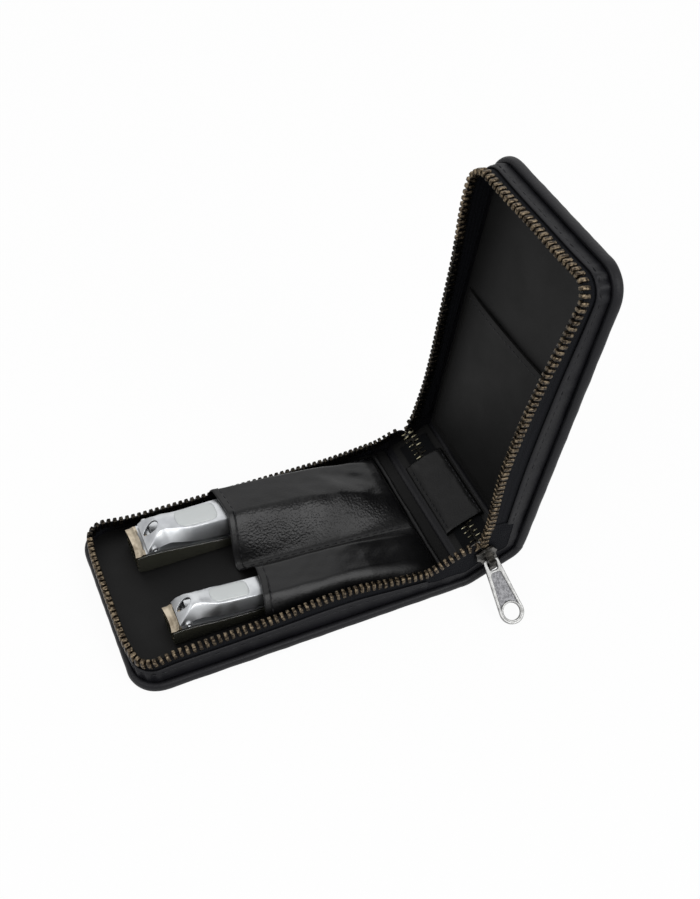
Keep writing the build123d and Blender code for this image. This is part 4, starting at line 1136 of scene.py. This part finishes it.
# ------------------------------------------------------------ pull and slider
pullShape = {"length": 23.4, "topWidth": 5.8, "endWidth": 9.0, "thick": 1.3, "rim": 1.0, "hole": 3.05, "sunk": 0.42}
pullPivot = Vector((67.55264, -35.7, 12.39414))
pullAxis = Vector((0.99396096, 0, 0.10973431))
pullNormal = Vector((-0.0950327, -0.5, 0.86079544))
pullTip = (pullNormal.cross(pullAxis)).normalized()
if pullTip.z > 0:
    pullTip = -pullTip


def flatCurve(name, loops, thickness, bevel):
    """Flat plate with holes: closed outlines filled, given thickness and a round edge."""
    curve = bpy.data.curves.new(name, "CURVE")
    curve.dimensions = "2D"
    curve.fill_mode = "BOTH"
    curve.extrude = (thickness / 2 - bevel) / 1000
    curve.bevel_depth = bevel / 1000
    curve.bevel_resolution = 2
    curve.offset = -bevel / 1000
    for loop in loops:
        spline = curve.splines.new("POLY")
        spline.points.add(len(loop) - 1)
        flat = np.zeros((len(loop), 4))
        flat[:, :2] = np.asarray(loop) / 1000
        flat[:, 3] = 1
        spline.points.foreach_set("co", flat.ravel())
        spline.use_cyclic_u = True
    holder = bpy.data.objects.new(name, curve)
    mesh = bpy.data.meshes.new_from_object(holder)
    bpy.data.objects.remove(holder)
    points = np.empty(len(mesh.vertices) * 3)
    mesh.vertices.foreach_get("co", points)
    return points.reshape(-1, 3) * 1000, [list(face.vertices) for face in mesh.polygons]


def pullLoop(shrink, top):
    """Outline of the pull drawn in by shrink: a round end that tapers to its top."""
    radius = pullShape["endWidth"] / 2 - shrink
    centre = pullShape["endWidth"] / 2 - pullShape["length"]
    reach = -centre + top
    lean = math.asin((pullShape["endWidth"] - pullShape["topWidth"]) / 2 / -centre)
    t = np.linspace(-math.pi - lean, lean, 40) 
    arc = np.stack([radius * np.cos(t), centre + radius * np.sin(t)], -1)
    side = pullShape["topWidth"] / 2 - shrink
    corner = 0.9
    q = np.linspace(0, math.pi / 2, 6)
    rightTop = np.stack([side - corner + corner * np.cos(q), top - corner + corner * np.sin(q)], -1)
    leftTop = np.stack([-side + corner - corner * np.sin(q), top - corner + corner * np.cos(q)], -1)
    return np.concatenate([arc, rightTop, leftTop])


def circle(radius, x, y, count=40):
    t = np.linspace(0, 2 * math.pi, count, endpoint=False)
    return np.stack([x + radius * np.cos(t), y + radius * np.sin(t)], -1)


def makePull():
    # two plates: the sunk face, and the raised edge with the hole's ring and the bar
    centre = pullShape["endWidth"] / 2 - pullShape["length"]
    window = rounded([(-1.7, -0.6), (1.7, -0.6), (1.7, -3.4), (-1.7, -3.4)], [0.3, 0.3, 1.2, 1.2], 5)
    hole = circle(pullShape["hole"], 0, centre)
    barLine = np.linspace(-pullShape["topWidth"] / 2 + 0.1, pullShape["topWidth"] / 2 - 0.1, 8)
    turn = np.linspace(0, 2 * math.pi, 16, endpoint=False)
    bar = np.stack(np.broadcast_arrays(barLine[:, None], 0.6 * np.cos(turn)[None, :], 0.6 * np.sin(turn)[None, :]), -1)
    parts = {
        "pullFace": (tumbledNickel, [flatCurve("plate", [pullLoop(0.3, 0.3), hole, window], pullShape["thick"] - 2 * pullShape["sunk"], 0.08)]),
        "pull": (wornNickel, [
            flatCurve("edge", [pullLoop(0, 0.6), pullLoop(pullShape["rim"], -4.4), window], pullShape["thick"], 0.3),
            flatCurve("ring", [circle(pullShape["hole"] + 0.8, 0, centre), hole], pullShape["thick"], 0.3),
            (bar.reshape(-1, 3), gridFaces(8, 16, closeColumns=True) + [list(range(16)), list(range(112, 128))]),
        ]),
    }
    for name, (looks, pieces) in parts.items():
        points, faces, offset = [], [], 0
        for part, partFaces in pieces:
            points.append(part)
            faces += [[i + offset for i in face] for face in partFaces]
            offset += len(part)
        flat = np.concatenate(points)
        placed = np.array(pullPivot) + flat[:, :1] * np.array(pullAxis) - flat[:, 1:2] * np.array(pullTip) + flat[:, 2:3] * np.array(pullNormal)
        piece = newPiece(name, placed, faces, "pull", looks, "slider_metal", sharp=40, clean=False)
        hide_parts("pull_tab")


makePull()
print("case: strap, ridge and pull made")

# ------------------------------------------- finishes of the solids that stay
nodeSlot = {row["node"]: row.get("material_slot") for row in frame["record"]["subparts"]}
for node, piece in frame["nodes"].items():
    looks = cadLooks.get(nodeSlot.get(node))
    if looks:
        piece.data.materials.clear()
        piece.data.materials.append(looks)

# ---------------------------------------------------- camera, light, ground
cameraData = bpy.data.cameras.new("camera")
camera = bpy.data.objects.new("camera", cameraData)
bpy.context.scene.collection.objects.link(camera)
bpy.context.scene.camera = camera
cameraData.sensor_width = 36
cameraData.lens = 43.689
cameraData.clip_start = 0.01
right = Vector((0.90906836, -0.41117262, 0.06731867))
upward = Vector((0.26410186, 0.69362984, 0.67017002))
back = Vector((-0.3222498, -0.59145137, 0.73914839))
placing = Matrix((right, upward, back)).transposed().to_4x4()
placing.translation = Vector((-0.09047, -0.21497, 0.31857))
camera.matrix_world = placing


def softLight(name, place, target, size, power):
    """Square soft light at a place, turned to a target, metres and watts."""
    lamp = bpy.data.lights.new(name, "AREA")
    lamp.size = size
    lamp.energy = power
    holder = bpy.data.objects.new(name, lamp)
    holder.location = place
    holder.rotation_euler = (Vector(place) - Vector(target)).to_track_quat("Z", "Y").to_euler()
    bpy.context.scene.collection.objects.link(holder)


softLight("backSoft", (0.35, 0.95, 1.35), (0.0, 0, 0.03), 2.4, 12.0)
softLight("leftSoft", (-1.3, -0.4, 1.0), (0, 0, 0.03), 1.2, 9.0)
softLight("nearSoft", (0.55, -1.25, 1.0), (0.02, 0, 0.03), 1.1, 16.0)

bpy.context.scene.view_settings.view_transform = "Standard"
world = bpy.data.worlds.new("studio")
bpy.context.scene.world = world
world.use_nodes = True
worldTree = world.node_tree
worldTree.nodes.clear()
ray = addNode(worldTree, "ShaderNodeLightPath")
dim = addNode(worldTree, "ShaderNodeBackground", {"Color": tone("#ffffff"), "Strength": 0.26})
plain = addNode(worldTree, "ShaderNodeBackground", {"Color": tone("#ffffff"), "Strength": 1.0})
# the white that the camera sees is also what metal, plastic and leather mirror
seen = addNode(worldTree, "ShaderNodeMath", {0: (ray, "Is Camera Ray"), 1: (ray, "Is Glossy Ray")}, operation="MAXIMUM")
shown = addNode(worldTree, "ShaderNodeMath", {0: (seen, "Value"), 1: (ray, "Is Transmission Ray")}, operation="MAXIMUM")
choice = addNode(worldTree, "ShaderNodeMixShader", {0: (shown, "Value"), 1: (dim, "Background"), 2: (plain, "Background")})
addNode(worldTree, "ShaderNodeOutputWorld", {"Surface": (choice, "Shader")})

floorMade, floorTree = newMaterial("paleGround")
floorRay = addNode(floorTree, "ShaderNodeLightPath")
matt = addNode(floorTree, "ShaderNodeBsdfDiffuse", {"Color": tone("#f4f4f4")})
glow = addNode(floorTree, "ShaderNodeEmission", {"Color": tone("#ffffff"), "Strength": 1.0})
floorSeen = addNode(floorTree, "ShaderNodeMath", {0: (floorRay, "Is Camera Ray"), 1: (floorRay, "Is Glossy Ray")}, operation="MAXIMUM")
floorShown = addNode(floorTree, "ShaderNodeMath", {0: (floorSeen, "Value"), 1: (floorRay, "Is Transmission Ray")}, operation="MAXIMUM")
share = addNode(floorTree, "ShaderNodeMath", {0: (floorShown, "Value"), 1: 0.95}, operation="MULTIPLY")
blendFloor = addNode(floorTree, "ShaderNodeMixShader", {0: (share, "Value"), 1: (matt, "BSDF"), 2: (glow, "Emission")})
addNode(floorTree, "ShaderNodeOutputMaterial", {"Surface": (blendFloor, "Shader")})
ground = bpy.data.meshes.new("ground")
ground.from_pydata([(-3, -3, -0.0001), (3, -3, -0.0001), (3, 3, -0.0001), (-3, 3, -0.0001)], [], [(0, 1, 2, 3)])
ground.materials.append(floorMade)
groundPiece = bpy.data.objects.new("ground", ground)
bpy.context.scene.collection.objects.link(groundPiece)
